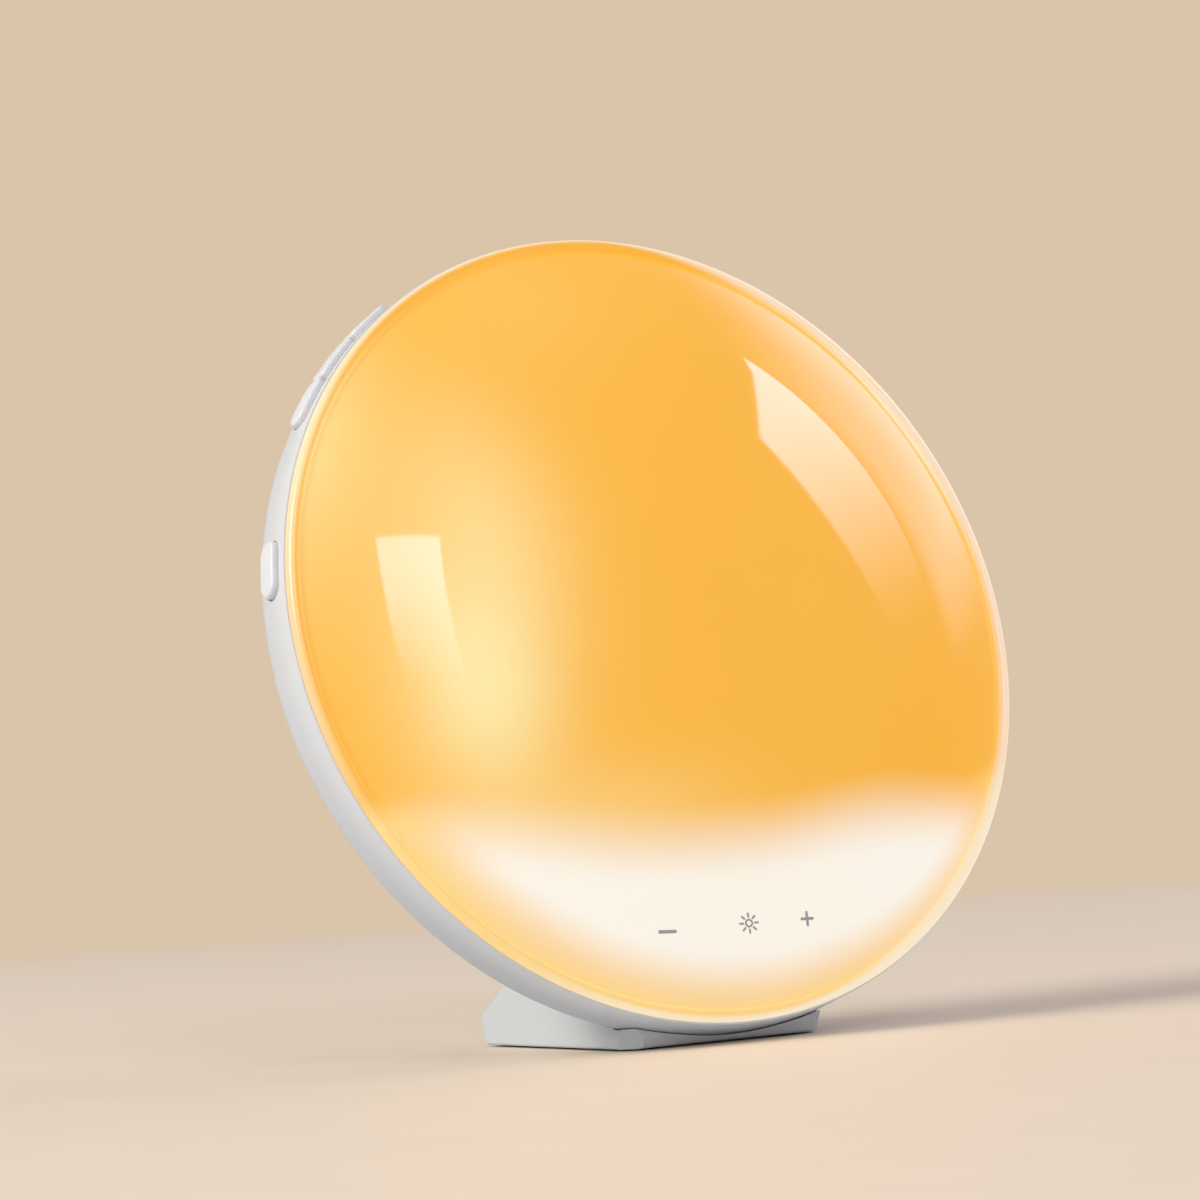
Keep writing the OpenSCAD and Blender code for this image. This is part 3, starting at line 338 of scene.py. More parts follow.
def skin_group():
    """Moulded skin: a faint mottle of the colour, uneven gloss, and a fine grain for the bump."""
    name = "moulded_skin"
    if name in bpy.data.node_groups:
        return bpy.data.node_groups[name]
    group = bpy.data.node_groups.new(name, "ShaderNodeTree")
    for label, kind, value in (
            ("Colour", "NodeSocketColor", (0.8, 0.8, 0.8, 1)), ("Mottle", "NodeSocketFloat", 0.04),
            ("Patch size", "NodeSocketFloat", 60.0), ("Grain", "NodeSocketFloat", 2500.0),
            ("Gloss", "NodeSocketFloat", 0.4), ("Unevenness", "NodeSocketFloat", 0.1)):
        group.interface.new_socket(name=label, in_out="INPUT", socket_type=kind).default_value = value
    for label, kind in (("Colour", "NodeSocketColor"), ("Roughness", "NodeSocketFloat"),
                        ("Height", "NodeSocketFloat")):
        group.interface.new_socket(name=label, in_out="OUTPUT", socket_type=kind)
    t = Tree(group)
    given = t.node("NodeGroupInput").outputs
    out = t.node("NodeGroupOutput").inputs
    place = t.node("ShaderNodeTexCoord").outputs["Object"]
    patches = t.node("ShaderNodeTexNoise")
    t.join(place, patches.inputs["Vector"])
    t.join(given["Patch size"], patches.inputs["Scale"])
    t.join(4.0, patches.inputs["Detail"])
    grain = t.node("ShaderNodeTexNoise")
    t.join(place, grain.inputs["Vector"])
    t.join(given["Grain"], grain.inputs["Scale"])
    t.join(2.0, grain.inputs["Detail"])
    swing = t.sum("SUBTRACT", patches.outputs["Fac"], 0.5)
    factor = t.sum("ADD", 1.0, t.sum("MULTIPLY", swing, given["Mottle"]))
    shade = t.node("ShaderNodeVectorMath", operation="SCALE")
    t.join(given["Colour"], shade.inputs[0])
    t.join(factor, shade.inputs["Scale"])
    t.join(shade.outputs[0], out["Colour"])
    rough = t.sum("ADD", given["Gloss"], t.sum("MULTIPLY", swing, given["Unevenness"]))
    fine = t.sum("MULTIPLY", t.sum("SUBTRACT", grain.outputs["Fac"], 0.5), given["Unevenness"])
    t.join(t.sum("ADD", rough, fine), out["Roughness"])
    t.join(grain.outputs["Fac"], out["Height"])
    return group


def skinned(name, shade, gloss, mottle, patch, grain, unevenness=0.08, bump=0.02, metallic=0.0, coat=0.0):
    """A moulded, rolled or pressed surface in one colour, with its own grain."""
    material = bpy.data.materials.new(name)
    material.use_nodes = True
    material.diffuse_color = rgba(shade)
    t = Tree(material.node_tree)
    shader = t.nodes["Principled BSDF"]
    skin = t.node("ShaderNodeGroup", node_tree=skin_group())
    for label, value in (("Colour", rgba(shade)), ("Mottle", mottle), ("Patch size", patch),
                         ("Grain", grain), ("Gloss", gloss), ("Unevenness", unevenness)):
        skin.inputs[label].default_value = value
    t.join(skin.outputs["Colour"], shader.inputs["Base Color"])
    t.join(skin.outputs["Roughness"], shader.inputs["Roughness"])
    shader.inputs["Metallic"].default_value = metallic
    shader.inputs["Coat Weight"].default_value = coat
    raised = t.node("ShaderNodeBump")
    raised.inputs["Strength"].default_value = 0.5
    raised.inputs["Distance"].default_value = bump * MM
    t.join(skin.outputs["Height"], raised.inputs["Height"])
    t.join(raised.outputs["Normal"], shader.inputs["Normal"])
    return material


def lit_opal(colours, light):
    """The lit dome: amber with a lemon glow at the left, a cream display zone below, a painted cream highlight on
    the bead and painted shade in its crease.
    """
    material = bpy.data.materials.new("lit_opal")
    material.use_nodes = True
    t = Tree(material.node_tree)
    shader = t.nodes["Principled BSDF"]
    x, y = t.disc_axes()[:2]
    right = t.sum("MAXIMUM", x, 0.0)
    left = t.sum("MAXIMUM", t.sum("MULTIPLY", x, -1.0), 0.0)
    r = t.sum("SQRT", t.sum("ADD", t.sum("MULTIPLY", x, x), t.sum("MULTIPLY", y, y)))

    # Amber, deeper towards the lower right.
    slant = t.sum("SUBTRACT", t.sum("MULTIPLY", x, 0.8), t.sum("MULTIPLY", y, 0.6))
    shade = t.mix(t.smooth(slant, 40 * MM, 78 * MM), rgba(colours.amber), rgba(colours.deep_amber))

    # Lemon glow in front of the lamps at the left: centre, reach and strength of each lamp's spot.
    lamps = (((-56, -16.5), (15.2, 24.7), 0.58),
             ((-49, 17), (18.3, 31.4), 0.34),
             ((-88, 86.5), (20, 55), 1),
             ((-32.5, -46), (28, 10), 0.19),
             ((-23, 70.5), (19.3, 17.6), 0.06))
    unlit = 1.0
    for centre, reach, strength in lamps:
        glow = t.sum("MULTIPLY", t.spot(x, y, centre, reach), strength)
        unlit = t.sum("MULTIPLY", unlit, t.sum("SUBTRACT", 1.0, glow))
    shade = t.mix(t.sum("SUBTRACT", 1.0, unlit), shade, rgba(colours.lemon))

    # Display zone: its upper edge sags in the middle, and its lower edge follows the rim.
    upper = t.sum("ADD", -53.4 * MM, t.sum("MULTIPLY", t.smooth(right, 1 * MM, 42 * MM), 4.5 * MM))
    upper = t.sum("ADD", upper, t.sum("MULTIPLY", t.smooth(left, 14.4 * MM, 90 * MM), 11.6 * MM))
    below = t.smooth(t.sum("SUBTRACT", y, upper), 9.6 * MM, -10.2 * MM)
    outward = t.sum("ADD", r, t.sum("MULTIPLY", left, 0.011))
    far_right = t.sum("MAXIMUM", t.sum("SUBTRACT", x, 20 * MM), 0.0)
    outward = t.sum("SUBTRACT", outward, t.sum("MULTIPLY", far_right, 0.06))
    near_rim = t.smooth(outward, 76.1 * MM, 89.2 * MM)
    low = t.smooth(y, -35 * MM, -43 * MM)
    shade = t.mix(t.sum("MULTIPLY", t.sum("MULTIPLY", near_rim, low), 0.94), shade, rgba(colours.peach))
    zone = t.sum("MULTIPLY", below, t.sum("SUBTRACT", 1.0, near_rim))
    shade = t.mix(zone, shade, rgba(colours.cream))

    # Painted shade: left of the middle a deeper amber band darkens the crease between dome and bead; it moves
    # inwards and fades towards the right.
    rightward = t.smooth(x, -15 * MM, 30 * MM)
    crease_r = t.sum("SUBTRACT", RIM_R - 1.5 * MM, t.sum("MULTIPLY", rightward, 2.4 * MM))
    crease = t.sum("DIVIDE", t.sum("SUBTRACT", r, crease_r), 0.5 * MM)
    crease = t.sum("POWER", math.e, t.sum("MULTIPLY", t.sum("MULTIPLY", crease, crease), -1.0))
    crease = t.sum("MULTIPLY", crease, t.sum("MAXIMUM", t.smooth(y, -50 * MM, 0.0), 0.2))
    crease = t.sum("MULTIPLY", crease, t.sum("SUBTRACT", 0.5, t.sum("MULTIPLY", rightward, 0.5)))
    shade = t.mix(crease, shade, rgba(colours.deep_amber))

    # Painted highlight: the bead's outer flank is painted cream, further in towards the right, but not at the
    # lower left.
    upper_right_highlight = t.sum("MULTIPLY", t.spot(x, y, (78, 45), (20, 20)), 0.9)
    wide = t.sum("ADD", t.smooth(right, 0.0, 50 * MM), upper_right_highlight)
    begin = t.sum("SUBTRACT", RIM_R - 1.2 * MM, t.sum("MULTIPLY", wide, 2.4 * MM))
    end = t.sum("SUBTRACT", RIM_R - 0.1 * MM, t.sum("MULTIPLY", wide, 1.5 * MM))
    pale = t.sum("SUBTRACT", 0.62, t.sum("MULTIPLY", t.spot(x, y, (-64, -63), (34, 34)), 0.58))
    pale = t.sum("SUBTRACT", pale, t.sum("MULTIPLY", t.smooth(left, 40 * MM, 88 * MM), 0.3))
    shade = t.mix(t.sum("MULTIPLY", t.smooth(r, begin, end), pale), shade, rgba(colours.cream))

    # A faint cloudiness in the opal, and a duller bead.
    skin = t.node("ShaderNodeGroup", node_tree=skin_group())
    for label, value in (("Mottle", 0.05), ("Patch size", 28.0), ("Grain", 3000.0), ("Unevenness", 0.02)):
        skin.inputs[label].default_value = value
    bead_gloss = t.sum("MULTIPLY", t.smooth(r, RIM_R - 3 * MM, RIM_R - 1.5 * MM), 0.22)
    t.join(t.sum("ADD", bead_gloss, 0.045), skin.inputs["Gloss"])
    t.join(shade, skin.inputs["Colour"])
    base = t.node("ShaderNodeVectorMath", operation="SCALE")
    t.join(skin.outputs["Colour"], base.inputs[0])
    base.inputs["Scale"].default_value = light.dome_base
    t.join(base.outputs[0], shader.inputs["Base Color"])
    t.join(skin.outputs["Roughness"], shader.inputs["Roughness"])
    t.join(skin.outputs["Colour"], shader.inputs["Emission Color"])
    shader.inputs["Emission Strength"].default_value = light.glow
    shader.inputs["Specular IOR Level"].default_value = 0.5
    shader.inputs["IOR"].default_value = 1.49
    raised = t.node("ShaderNodeBump")
    raised.inputs["Strength"].default_value = 0.3
    raised.inputs["Distance"].default_value = 0.002 * MM
    t.join(skin.outputs["Height"], raised.inputs["Height"])
    t.join(raised.outputs["Normal"], shader.inputs["Normal"])
    return material


# ---- operators ----

def settings(context):
    return context.scene.clock_sizes, context.scene.clock_colours, context.scene.clock_light


def shared(name, make):
    """A material that several pieces share."""
    return bpy.data.materials.get(name) or make()


def shell_plastic(colours):
    """White plastic with painted light: a glow beside the joint, fading towards the back, makes the wall lighter
    at the front.
    """
    material = skinned("shell_plastic", colours.shell, gloss=0.5, mottle=0.02, patch=35, grain=1600,
                       bump=0.004, coat=0.04)
    t = Tree(material.node_tree)
    shader = t.nodes["Principled BSDF"]
    depth = t.disc_axes()[2]
    # Painted light: an emitted glow, full up to 1 mm behind the joint and gone at 8.5 mm, makes the wall lighter
    # at the front and darker at the back.
    through = t.mix(t.smooth(depth, -8.5 * MM, -1 * MM), (0, 0, 0, 1), rgba(colours.painted_shell_glow))
    t.join(through, shader.inputs["Emission Color"])
    shader.inputs["Emission Strength"].default_value = 1.0
    return material


class CLOCK_OT_light_dome(bpy.types.Operator):
    """Models the opal dome with its rim bead and lip, and lights it"""

    bl_idname = "clock.light_dome"
    bl_label = "Light dome"

    def bosses(self, bm, sizes, dome):
        """The four bosses inside the rim that take the screws through the housing."""
        screw_turns = (70, 110, 205, 335)
        for turn in screw_turns:
            post = bmesh.new()
            top = dome.height(sizes.boss_place)
            low, out, bore = -sizes.boss_drop, sizes.boss_r, sizes.boss_bore
            drilled = low + sizes.boss_hole
            spun(post, [(0, top), (out, top), (out, low + sizes.boss_edge), (out - sizes.boss_edge, low),
                        (bore, low), (bore, drilled), (0, drilled)], steps=28)
            place = Matrix.Rotation(math.radians(turn), 4, "Z") @ Matrix.Translation((sizes.boss_place, 0, 0))
            bmesh.ops.transform(post, matrix=place, verts=post.verts)
            # The top ends inside the dome's wall.
            for v in post.verts:
                if v.co.z > (drilled + top) / 2:
                    v.co.z = dome.height(v.co.to_2d().length) - 0.6 * sizes.dome_wall
            add_mesh(bm, post)

    def execute(self, context):
        sizes, colours, light = settings(context)
        dome = Dome(sizes)
        bead_r = sizes.bead_w / 2
        seam = 0.06 * MM
        step = 0.2 * MM
        lip_out = BODY_R - sizes.lip_inset
        lip_in = lip_out - sizes.lip_wall
        start = 180 - math.degrees(math.asin((sizes.crease_h - sizes.bead_h) / bead_r))
        outline = dome.face(0, dome.crease_r + seam)
        outline += arc((RIM_R - bead_r, sizes.bead_h), bead_r, start, 0, 18)
        outline += [(RIM_R, 0), (lip_out, 0), (lip_out, -sizes.lip_depth), (lip_in, -sizes.lip_depth)]
        outline += [(lip_in, -step)]
        outline += list(reversed(dome.face(sizes.dome_wall, lip_in - step)))
        bm = bmesh.new()
        spun(bm, outline, steps=256)
        self.bosses(bm, sizes, dome)
        bmesh.ops.recalc_face_normals(bm, faces=bm.faces)
        piece("opal_dome", bm, "clock", lit_opal(colours, light), ["front_diffuser"],
              crease=math.radians(40))
        return {"FINISHED"}


class CLOCK_OT_rear_shell(bpy.types.Operator):
    """Finishes the white housing, its battery door and the foot's cover"""

    bl_idname = "clock.rear_shell"
    bl_label = "Rear shell"

    def execute(self, context):
        colours = settings(context)[1]
        material = shared("shell_plastic", lambda: shell_plastic(colours))
        for node in ("rear_housing", "battery_door", "foot_base_cover"):
            dress(node, material)
        return {"FINISHED"}


class CLOCK_OT_side_keys(bpy.types.Operator):
    """Models the eight side keys with rounded edges, each on its own body"""

    bl_idname = "clock.side_keys"
    bl_label = "Side keys"

    def outline(self, bm, sizes, grow, free, low):
        """A face with the key's outline: half round at a free end, small corners beside another key."""
        half_w = sizes.key_width / 2 + grow
        points = self.end_points(sizes, grow, free[0], 1, half_w)
        points += self.end_points(sizes, grow, free[1], -1, half_w)
        return bm.faces.new([bm.verts.new((along, across, low)) for along, across in points])

    def end_points(self, sizes, grow, is_free, end, half_w):
        """The two rounded corners of one end, in order round the outline."""
        tip = end * (sizes.key_length / 2 + (grow if is_free else 0))
        corner = half_w if is_free else sizes.key_corner
        steps = 14 if is_free else 6
        first = 270 if end > 0 else 90
        turns = []
        for part in (0, 1):
            side = end * (-1 if part == 0 else 1)
            centre = (tip - end * corner, side * (half_w - corner))
            quarter = arc(centre, corner, first + 90 * part, first + 90 * part + 90, steps)
            turns += quarter[1:] if is_free and part else quarter
        return turns

    def block(self, bm, sizes, grow, free, low, high, rounding):
        """A closed block between two radii, with its outer edge rounded."""
        part = bmesh.new()
        face = self.outline(part, sizes, grow, free, low)
        top = bmesh.ops.extrude_face_region(part, geom=[face])["geom"]
        lifted = [v for v in top if isinstance(v, bmesh.types.BMVert)]
        bmesh.ops.translate(part, vec=(0, 0, high - low), verts=lifted)
        if rounding:
            rim = [e for e in part.edges if all(abs(v.co.z - high) < 1e-7 for v in e.verts)]
            bmesh.ops.bevel(part, geom=rim, offset=rounding, offset_type="OFFSET", segments=5,
                            profile=0.5, affect="EDGES", material=-1)
        cuts = 12
        for k in range(1, cuts):
            s = sizes.key_length * (k / cuts - 0.5)
            geom = part.verts[:] + part.edges[:] + part.faces[:]
            bmesh.ops.bisect_plane(part, geom=geom, plane_co=(s, 0, 0), plane_no=(1, 0, 0))
        for v in part.verts:
            v.co.z = math.sqrt(v.co.z ** 2 - v.co.x ** 2)
        add_mesh(bm, part)

    def execute(self, context):
        sizes, colours = settings(context)[:2]
        material = shared("key_plastic", lambda: skinned(
            "key_plastic", colours.key, gloss=0.5, mottle=0.02, patch=60, grain=900, bump=0.001, coat=0.04))
        step = (sizes.key_length + sizes.row_gap) / (BODY_R + sizes.key_proud)
        keys = (("lone", sizes.lone_angle, (True, True)), ("upper", sizes.row_angle + step, (True, False)),
                ("middle", sizes.row_angle, (False, False)), ("lower", sizes.row_angle - step, (False, True)))
        flange_out = BODY_R - sizes.flange_inset
        for name, turn, free in keys:
            for side in ("left", "right"):
                bm = bmesh.new()
                self.block(bm, sizes, 0, free, sizes.key_root, BODY_R + sizes.key_proud, sizes.key_round)
                self.block(bm, sizes, sizes.flange_grow, free, flange_out - sizes.flange_t, flange_out, 0)
                # x runs along the wall, y across it and z out of it: stand the key up at its angle.
                stand = Matrix(((0, 0, 1, 0), (1, 0, 0, 0), (0, 1, 0, -sizes.key_depth), (0, 0, 0, 1)))
                bmesh.ops.transform(bm, matrix=Matrix.Rotation(turn, 4, "Z") @ stand, verts=bm.verts)
                if side == "left":
                    bmesh.ops.transform(bm, matrix=Matrix.Diagonal((-1, 1, 1, 1)), verts=bm.verts)
                bmesh.ops.recalc_face_normals(bm, faces=bm.faces)
                piece(f"{side}_{name}_key", bm, f"{side}_{name}_key", material,
                      [f"{side}_{name}_button"], crease=math.radians(25))
        return {"FINISHED"}


class CLOCK_OT_foot(bpy.types.Operator):
    """Rounds the outer edges of the wedge foot"""

    bl_idname = "clock.foot"
    bl_label = "Foot"

    def execute(self, context):
        sizes, colours = settings(context)[:2]
        bm = merged_copy("stand_foot")
        middle = sum((v.co for v in bm.verts), Vector()) / len(bm.verts)
        large = (5 * MM) ** 2
        bluntest, sharpest = math.radians(15), math.radians(150)

        def outer(face):
            return face.calc_area() > large and face.normal.dot(face.calc_center_median() - middle) > 0

        corners = [e for e in bm.edges if len(e.link_faces) == 2 and all(outer(f) for f in e.link_faces)
                   and bluntest < e.calc_face_angle_signed(0) < sharpest]
        bmesh.ops.bevel(bm, geom=corners, offset=sizes.foot_edge, offset_type="OFFSET", segments=4,
                        profile=0.5, affect="EDGES", material=-1)
        material = shared("shell_plastic", lambda: shell_plastic(colours))
        piece("wedge_foot", bm, "clock", material, ["stand_foot"],
              crease=math.radians(5), place=Matrix())
        return {"FINISHED"}


class CLOCK_OT_touch_marks(bpy.types.Operator):
    """Prints the minus, sun and plus marks on the dome"""

    bl_idname = "clock.touch_marks"
    bl_label = "Touch marks"

    def bar(self, bm, centre, length, width, turn):
        """A bar with round ends, as a flat face."""
        straight = (length - width) / 2
        points = arc((straight, 0), width / 2, -90, 90, 6) + arc((-straight, 0), width / 2, 90, 270, 6)
        across = Matrix.Translation((*centre, 0)) @ Matrix.Rotation(turn, 4, "Z")
        return bm.faces.new([bm.verts.new(across @ Vector((px, py, 0))) for px, py in points])

    def ring(self, bm, centre, radius, width):
        """A flat ring."""
        edges = set()
        for circle_r in (radius - width / 2, radius + width / 2):
            circle = bmesh.ops.create_circle(bm, cap_ends=False, segments=28, radius=circle_r,
                                             matrix=Matrix.Translation((*centre, 0)))
            edges |= {e for v in circle["verts"] for e in v.link_edges}
        bmesh.ops.bridge_loops(bm, edges=list(edges))

    def strokes(self, sizes, row):
        """The bars that each mark is made of, as centre, length, width and turn."""
        minus = ((-sizes.minus_left, row), sizes.minus_length, sizes.minus_line, -sizes.minus_turn)
        plus_at = (sizes.plus_right, row)
        plus = [(plus_at, sizes.plus_length, sizes.mark_line, turn) for turn in (0, math.pi / 2)]
        rays = []
        for k in range(8):
            turn = k * math.pi / 4
            along = sizes.ray_place * math.cos(turn)
            above = sizes.ray_place * math.sin(turn)
            rays.append(((along - sizes.sun_left, row + above), sizes.ray_length, sizes.ray_line, turn))
        return {"minus": [minus], "sun": rays, "plus": plus}

    def execute(self, context):
        sizes, colours = settings(context)[:2]
        dome = Dome(sizes)
        ink = shared("mark_ink", lambda: skinned(
            "mark_ink", colours.ink, gloss=0.3, mottle=0.2, patch=900, grain=4000, bump=0.004))
        row = -sizes.mark_y
        for name, bars in self.strokes(sizes, row).items():
            bm = bmesh.new()
            for centre, length, width, turn in bars:
                self.bar(bm, centre, length, width, turn)
            if name == "sun":
                self.ring(bm, (-sizes.sun_left, row), sizes.sun_ring_r, sizes.sun_ring_line)
            for v in bm.verts:
                above = v.co.y - row
                v.co.y = row + sizes.mark_squat * above
                v.co.x -= sizes.mark_slant * above
            top = bmesh.ops.extrude_face_region(bm, geom=bm.faces[:])["geom"]
            lifted = {v for v in top if isinstance(v, bmesh.types.BMVert)}
            for v in bm.verts:
                on_dome = dome.height(math.hypot(v.co.x, v.co.y))
                v.co.z = on_dome + (sizes.mark_film if v in lifted else -sizes.mark_film)
            bmesh.ops.recalc_face_normals(bm, faces=bm.faces)
            piece(f"{name}_mark", bm, "clock", ink)
        return {"FINISHED"}


def dress(node, material):
    """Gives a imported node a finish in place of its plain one."""
    mesh = frame["nodes"][node].data
    mesh.materials.clear()
    mesh.materials.append(material)


class CLOCK_OT_small_parts(bpy.types.Operator):
    """Finishes the screws, pads, boards, lamps, loudspeaker and other small pieces"""

    bl_idname = "clock.small_parts"
    bl_label = "Small parts"

    def execute(self, context):
        # Slot: name, colour, gloss, mottle, patch size, grain, unevenness, bump and metal.
        rows = {
            "foot_rubber": ("pad_rubber", (46, 46, 47), 0.75, 0.2, 300, 1800, 0.1, 0.05, 0),
            "screw_steel": ("zinc_steel", (196, 198, 202), 0.3, 0.15, 900, 3500, 0.15, 0.01, 1),
            "black_plastic": ("black_plastic", (28, 28, 30), 0.45, 0.2, 200, 2400, 0.12, 0.03, 0),
            "green_board": ("green_laminate", (34, 104, 68), 0.35, 0.25, 250, 1500, 0.15, 0.03, 0),
            "white_board": ("white_laminate", (238, 238, 234), 0.35, 0.06, 250, 1500, 0.1, 0.02, 0),
            "flat_cable": ("flat_cable", (214, 208, 194), 0.5, 0.1, 400, 2000, 0.1, 0.03, 0),
            "reflector_white": ("reflector_white", (240, 240, 238), 0.6, 0.04, 60, 1500, 0.1, 0.03, 0),
            "warm_led": ("warm_lamp", (246, 222, 130), 0.3, 0.15, 900, 3000, 0.1, 0.01, 0),
            "clear_led": ("clear_lamp", (232, 232, 228), 0.2, 0.1, 900, 3000, 0.1, 0.01, 0),
            "display_black": ("display_black", (30, 30, 33), 0.5, 0.15, 200, 2500, 0.1, 0.02, 0),
            "display_segment": ("display_segment", (240, 238, 228), 0.4, 0.06, 400, 2500, 0.1, 0.01, 0),
            "spring_steel": ("spring_steel", (206, 202, 190), 0.28, 0.15, 800, 3500, 0.15, 0.01, 1),
            "aluminium_can": ("drawn_aluminium", (205, 207, 211), 0.35, 0.1, 500, 3000, 0.2, 0.01, 1),
            "gasket_foam": ("gasket_foam", (50, 50, 51), 0.9, 0.25, 900, 1500, 0.05, 0.15, 0),
            "dark_steel": ("dark_steel", (62, 62, 66), 0.4, 0.2, 300, 2500, 0.2, 0.02, 0.8),
            "cone_paper": ("cone_paper", (38, 38, 39), 0.85, 0.3, 700, 1800, 0.05, 0.12, 0),
            "red_lead": ("red_lead", (172, 40, 38), 0.45, 0.1, 500, 2500, 0.1, 0.02, 0),
            "cell_steel": ("cell_steel", (214, 215, 217), 0.25, 0.1, 500, 3500, 0.2, 0.01, 1),
        }
        finishes = {slot: skinned(name, tone(*shade), *rest) for slot, (name, shade, *rest) in rows.items()}
        dressed = {"white_shell", "white_button", "opal_diffuser"}
        for part in frame["record"]["subparts"]:
            if part["material_slot"] not in dressed:
                dress(part["node"], finishes[part["material_slot"]])
        return {"FINISHED"}


# ---- studio ----

class CLOCK_OT_studio(bpy.types.Operator):
    """Makes the pale floor, the softboxes, the room light and the camera"""

    bl_idname = "clock.studio"
    bl_label = "Studio"

    def floor(self, colours):
        """A wide floor that turns into the wall's colour behind the clock."""
        floor_r = 8
        wall_from, wall_to = 0.62, 0.95
        bm = bmesh.new()
        bmesh.ops.create_circle(bm, cap_ends=True, segments=96, radius=floor_r)
        mesh = bpy.data.meshes.new("floor")
        bm.to_mesh(mesh)
        bm.free()
        made = bpy.data.objects.new("floor", mesh)
        bpy.context.scene.collection.objects.link(made)
        material = bpy.data.materials.new("pale_floor")
        material.use_nodes = True
        t = Tree(material.node_tree)
        shader = t.nodes["Principled BSDF"]
        place = t.node("ShaderNodeTexCoord").outputs["Object"]
        axes = t.node("ShaderNodeSeparateXYZ")
        t.join(place, axes.inputs["Vector"])
        mottle = t.node("ShaderNodeTexNoise")
        t.join(place, mottle.inputs["Vector"])
        t.join(35.0, mottle.inputs["Scale"])
        t.join(6.0, mottle.inputs["Detail"])
        seen = t.node("ShaderNodeLightPath")
        dull = t.mix(mottle.outputs["Fac"], rgba(colours.floor), rgba([c * 0.95 for c in colours.floor]))
        grey = sum(colours.floor) / 3
        t.join(t.mix(seen.outputs["Is Camera Ray"], (grey, grey, grey, 1), dull), shader.inputs["Base Color"])
        shader.inputs["Roughness"].default_value = 0.55
        shader.inputs["Specular IOR Level"].default_value = 0.2
        reach = t.node("ShaderNodeVectorMath", operation="LENGTH")
        t.join(place, reach.inputs[0])
        wall = t.node("ShaderNodeEmission")
        wall.inputs["Color"].default_value = rgba(colours.backdrop)
        blend = t.node("ShaderNodeMixShader")
        far = t.smooth(reach.outputs["Value"], wall_from, wall_to)
        t.join(far, blend.inputs["Fac"])
        t.links.new(shader.outputs[0], blend.inputs[1])
        t.links.new(wall.outputs[0], blend.inputs[2])
        t.links.new(blend.outputs[0], t.nodes["Material Output"].inputs["Surface"])
        mesh.materials.append(material)

    def room(self, colours, light):
        """Even light all round, with the wall's colour where the camera sees it."""
        world = bpy.data.worlds.new("room")
        world.use_nodes = True
        bpy.context.scene.world = world
        t = Tree(world.node_tree)
        even = t.nodes["Background"]
        even.inputs["Color"].default_value = (1.0, 0.99, 0.97, 1)
        even.inputs["Strength"].default_value = light.room
        wall = t.node("ShaderNodeBackground")
        wall.inputs["Color"].default_value = rgba(colours.backdrop)
        seen = t.node("ShaderNodeLightPath").outputs
        clear = t.sum("MAXIMUM", seen["Is Camera Ray"], seen["Is Transmission Ray"])
        blend = t.node("ShaderNodeMixShader")
        t.join(clear, blend.inputs["Fac"])
        t.links.new(even.outputs[0], blend.inputs[1])
        t.links.new(wall.outputs[0], blend.inputs[2])
        t.links.new(blend.outputs[0], t.nodes["World Output"].inputs["Surface"])

    def softbox(self, name, strength, aim, across, upwards, reach=3.0, edge=None,
                fade=(0, 0, 0, 0), tint=(1, 1, 1)):
        """A lamp on a plane that faces the dome from the angles in aim. across and upwards give its
        sides as shares of reach, edge its slanted top as (height, slope), and fade the share that dims
        at its left, right, lower and upper side."""
        lamp = bpy.data.lights.new(name, "AREA")
        lamp.shape = "RECTANGLE"
        lamp.size = (across[1] - across[0]) * reach
        lamp.size_y = (upwards[1] - upwards[0]) * reach
        lamp.color = tint
        # An area lamp's radiance is its power over pi times its area.
        lamp.energy = strength * math.pi * lamp.size * lamp.size_y
        made = bpy.data.objects.new(name, lamp)
        bpy.context.scene.collection.objects.link(made)
        turn, rise = math.radians(aim[0]), math.radians(aim[1])
        away = Vector((math.sin(turn) * math.cos(rise), -math.cos(turn) * math.cos(rise), math.sin(rise)))
        side = Vector((0, 0, 1)).cross(away).normalized()
        up = away.cross(side)
        middle = side * sum(across) / 2 + up * sum(upwards) / 2
        made.matrix_world = Matrix.Translation(DISC + (away + middle) * reach) @ Matrix(
            (side, up, away)).transposed().to_4x4()
        made.visible_camera = False
        lamp.use_nodes = True
        t = Tree(lamp.node_tree)
        emission = t.nodes["Emission"]
        axes = t.node("ShaderNodeSeparateXYZ")
        t.join(t.node("ShaderNodeNewGeometry").outputs["Parametric"], axes.inputs["Vector"])
        level = 1.0
        for axis, low, high in (("X", fade[0], fade[1]), ("Y", fade[2], fade[3])):
            if low:
                level = t.sum("MULTIPLY", level, t.smooth(axes.outputs[axis], 0.0, low))
            if high:
                level = t.sum("MULTIPLY", level, t.smooth(axes.outputs[axis], 1.0, 1.0 - high))
        if edge:
            height, slope = edge
            tall, wide = upwards[1] - upwards[0], across[1] - across[0]
            start = (height + slope * across[0] - upwards[0]) / tall
            cut = t.sum("ADD", start, t.sum("MULTIPLY", axes.outputs["X"], slope * wide / tall))
            over = t.sum("SUBTRACT", axes.outputs["Y"], cut)
            level = t.sum("MULTIPLY", level, t.smooth(over, 0.004, -0.004))
        t.join(level, emission.inputs["Strength"])

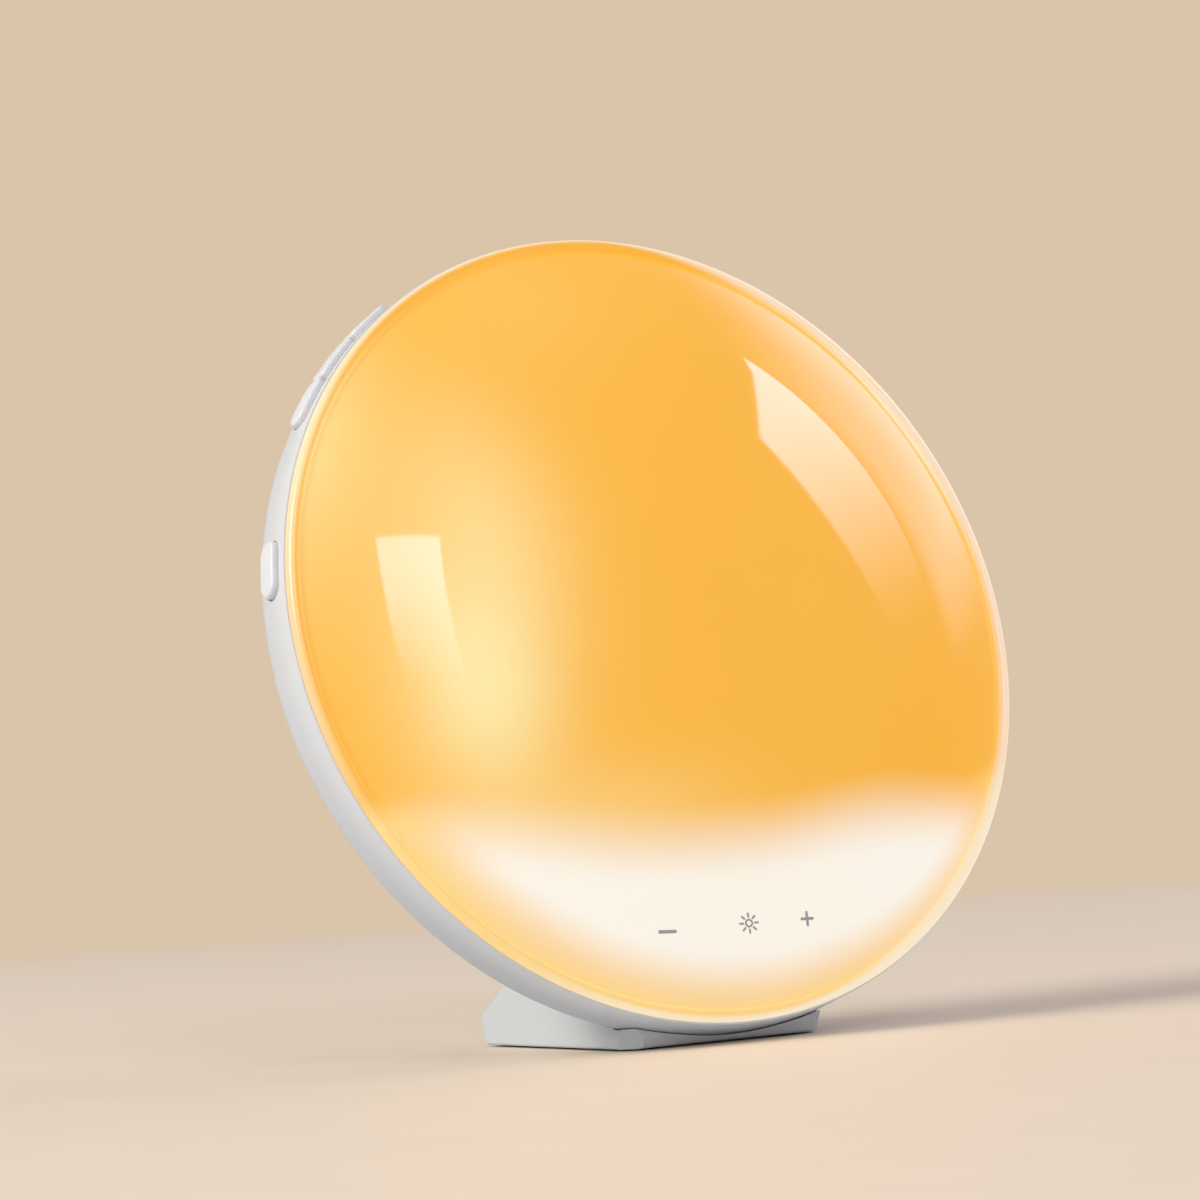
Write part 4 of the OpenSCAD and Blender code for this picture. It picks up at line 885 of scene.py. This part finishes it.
    def camera(self):
        """A camera to the left of the clock, turned towards it and rolled a little."""
        facing = Vector((math.sin(CAMERA_YAW), math.cos(CAMERA_YAW), 0))
        ahead = math.cos(CAMERA_PITCH) * facing + Vector((0, 0, math.sin(CAMERA_PITCH)))
        level = Vector((math.cos(CAMERA_YAW), -math.sin(CAMERA_YAW), 0))
        upright = level.cross(ahead)
        across = math.cos(CAMERA_ROLL) * level + math.sin(CAMERA_ROLL) * upright
        upwards = math.cos(CAMERA_ROLL) * upright - math.sin(CAMERA_ROLL) * level
        data = bpy.data.cameras.new("camera")
        data.sensor_width = 36
        data.lens = FOCAL * data.sensor_width
        made = bpy.data.objects.new("camera", data)
        bpy.context.scene.collection.objects.link(made)
        turned = Matrix((across, upwards, -ahead)).transposed().to_4x4()
        made.matrix_world = Matrix.Translation(DISC + CAMERA_FROM_DISC) @ turned
        data.clip_start, data.clip_end = 0.01, 100
        bpy.context.scene.camera = made

    def execute(self, context):
        colours, light = settings(context)[1:]
        self.floor(colours)
        self.room(colours, light)
        self.softbox("left_softbox", light.left_box, (-8.5, 31), (-0.175, 0.12), (-0.2, 0.25),
                     edge=(0.208, -0.194), fade=(0, 0, 0.85, 0), tint=light.box_tint)
        self.softbox("right_softbox", light.right_box, (69, 31), (-0.09, 0.115), (-0.25, 0.25),
                     edge=(0.187, 0.485), fade=(0, 0, 0.9, 0), tint=light.box_tint)
        self.softbox("rim_softbox", light.rim_box, (98, 28), (-0.404, 0.42), (-0.344, 0.404),
                     fade=(0.23, 0, 0.27, 0.47), tint=light.box_tint)
        self.softbox("key_softbox", light.key_box, (-92, 34), (-0.3, 0.3), (-0.3, 0.3),
                     fade=(0.4, 0.4, 0.4, 0.4))
        self.camera()
        context.scene.view_settings.view_transform = "Standard"
        return {"FINISHED"}


class CLOCK_PT_panel(bpy.types.Panel):
    """Lists the clock's builders and their sizes and colours"""

    bl_label = "Sunrise alarm clock"
    bl_idname = "CLOCK_PT_panel"
    bl_space_type = "VIEW_3D"
    bl_region_type = "UI"
    bl_category = "Clock"

    def draw(self, context):
        for operator in OPERATORS:
            self.layout.operator(operator.bl_idname)
        for group in settings(context):
            box = self.layout.box()
            for name in group.__annotations__:
                box.prop(group, name)


GROUPS = (ClockSizes, ClockColours, ClockLight)
OPERATORS = (CLOCK_OT_light_dome, CLOCK_OT_rear_shell, CLOCK_OT_side_keys, CLOCK_OT_foot,
             CLOCK_OT_touch_marks, CLOCK_OT_small_parts, CLOCK_OT_studio)
CLASSES = GROUPS + OPERATORS + (CLOCK_PT_panel,)


def register():
    for each in CLASSES:
        bpy.utils.register_class(each)
    scene = bpy.types.Scene
    scene.clock_sizes = bpy.props.PointerProperty(type=ClockSizes)
    scene.clock_colours = bpy.props.PointerProperty(type=ClockColours)
    scene.clock_light = bpy.props.PointerProperty(type=ClockLight)


def unregister():
    for name in ("clock_sizes", "clock_colours", "clock_light"):
        delattr(bpy.types.Scene, name)
    for each in reversed(CLASSES):
        bpy.utils.unregister_class(each)


def main():
    register()
    for operator in OPERATORS:
        group, name = operator.bl_idname.split(".")
        getattr(getattr(bpy.ops, group), name)()


if __name__ == "__main__":
    main()
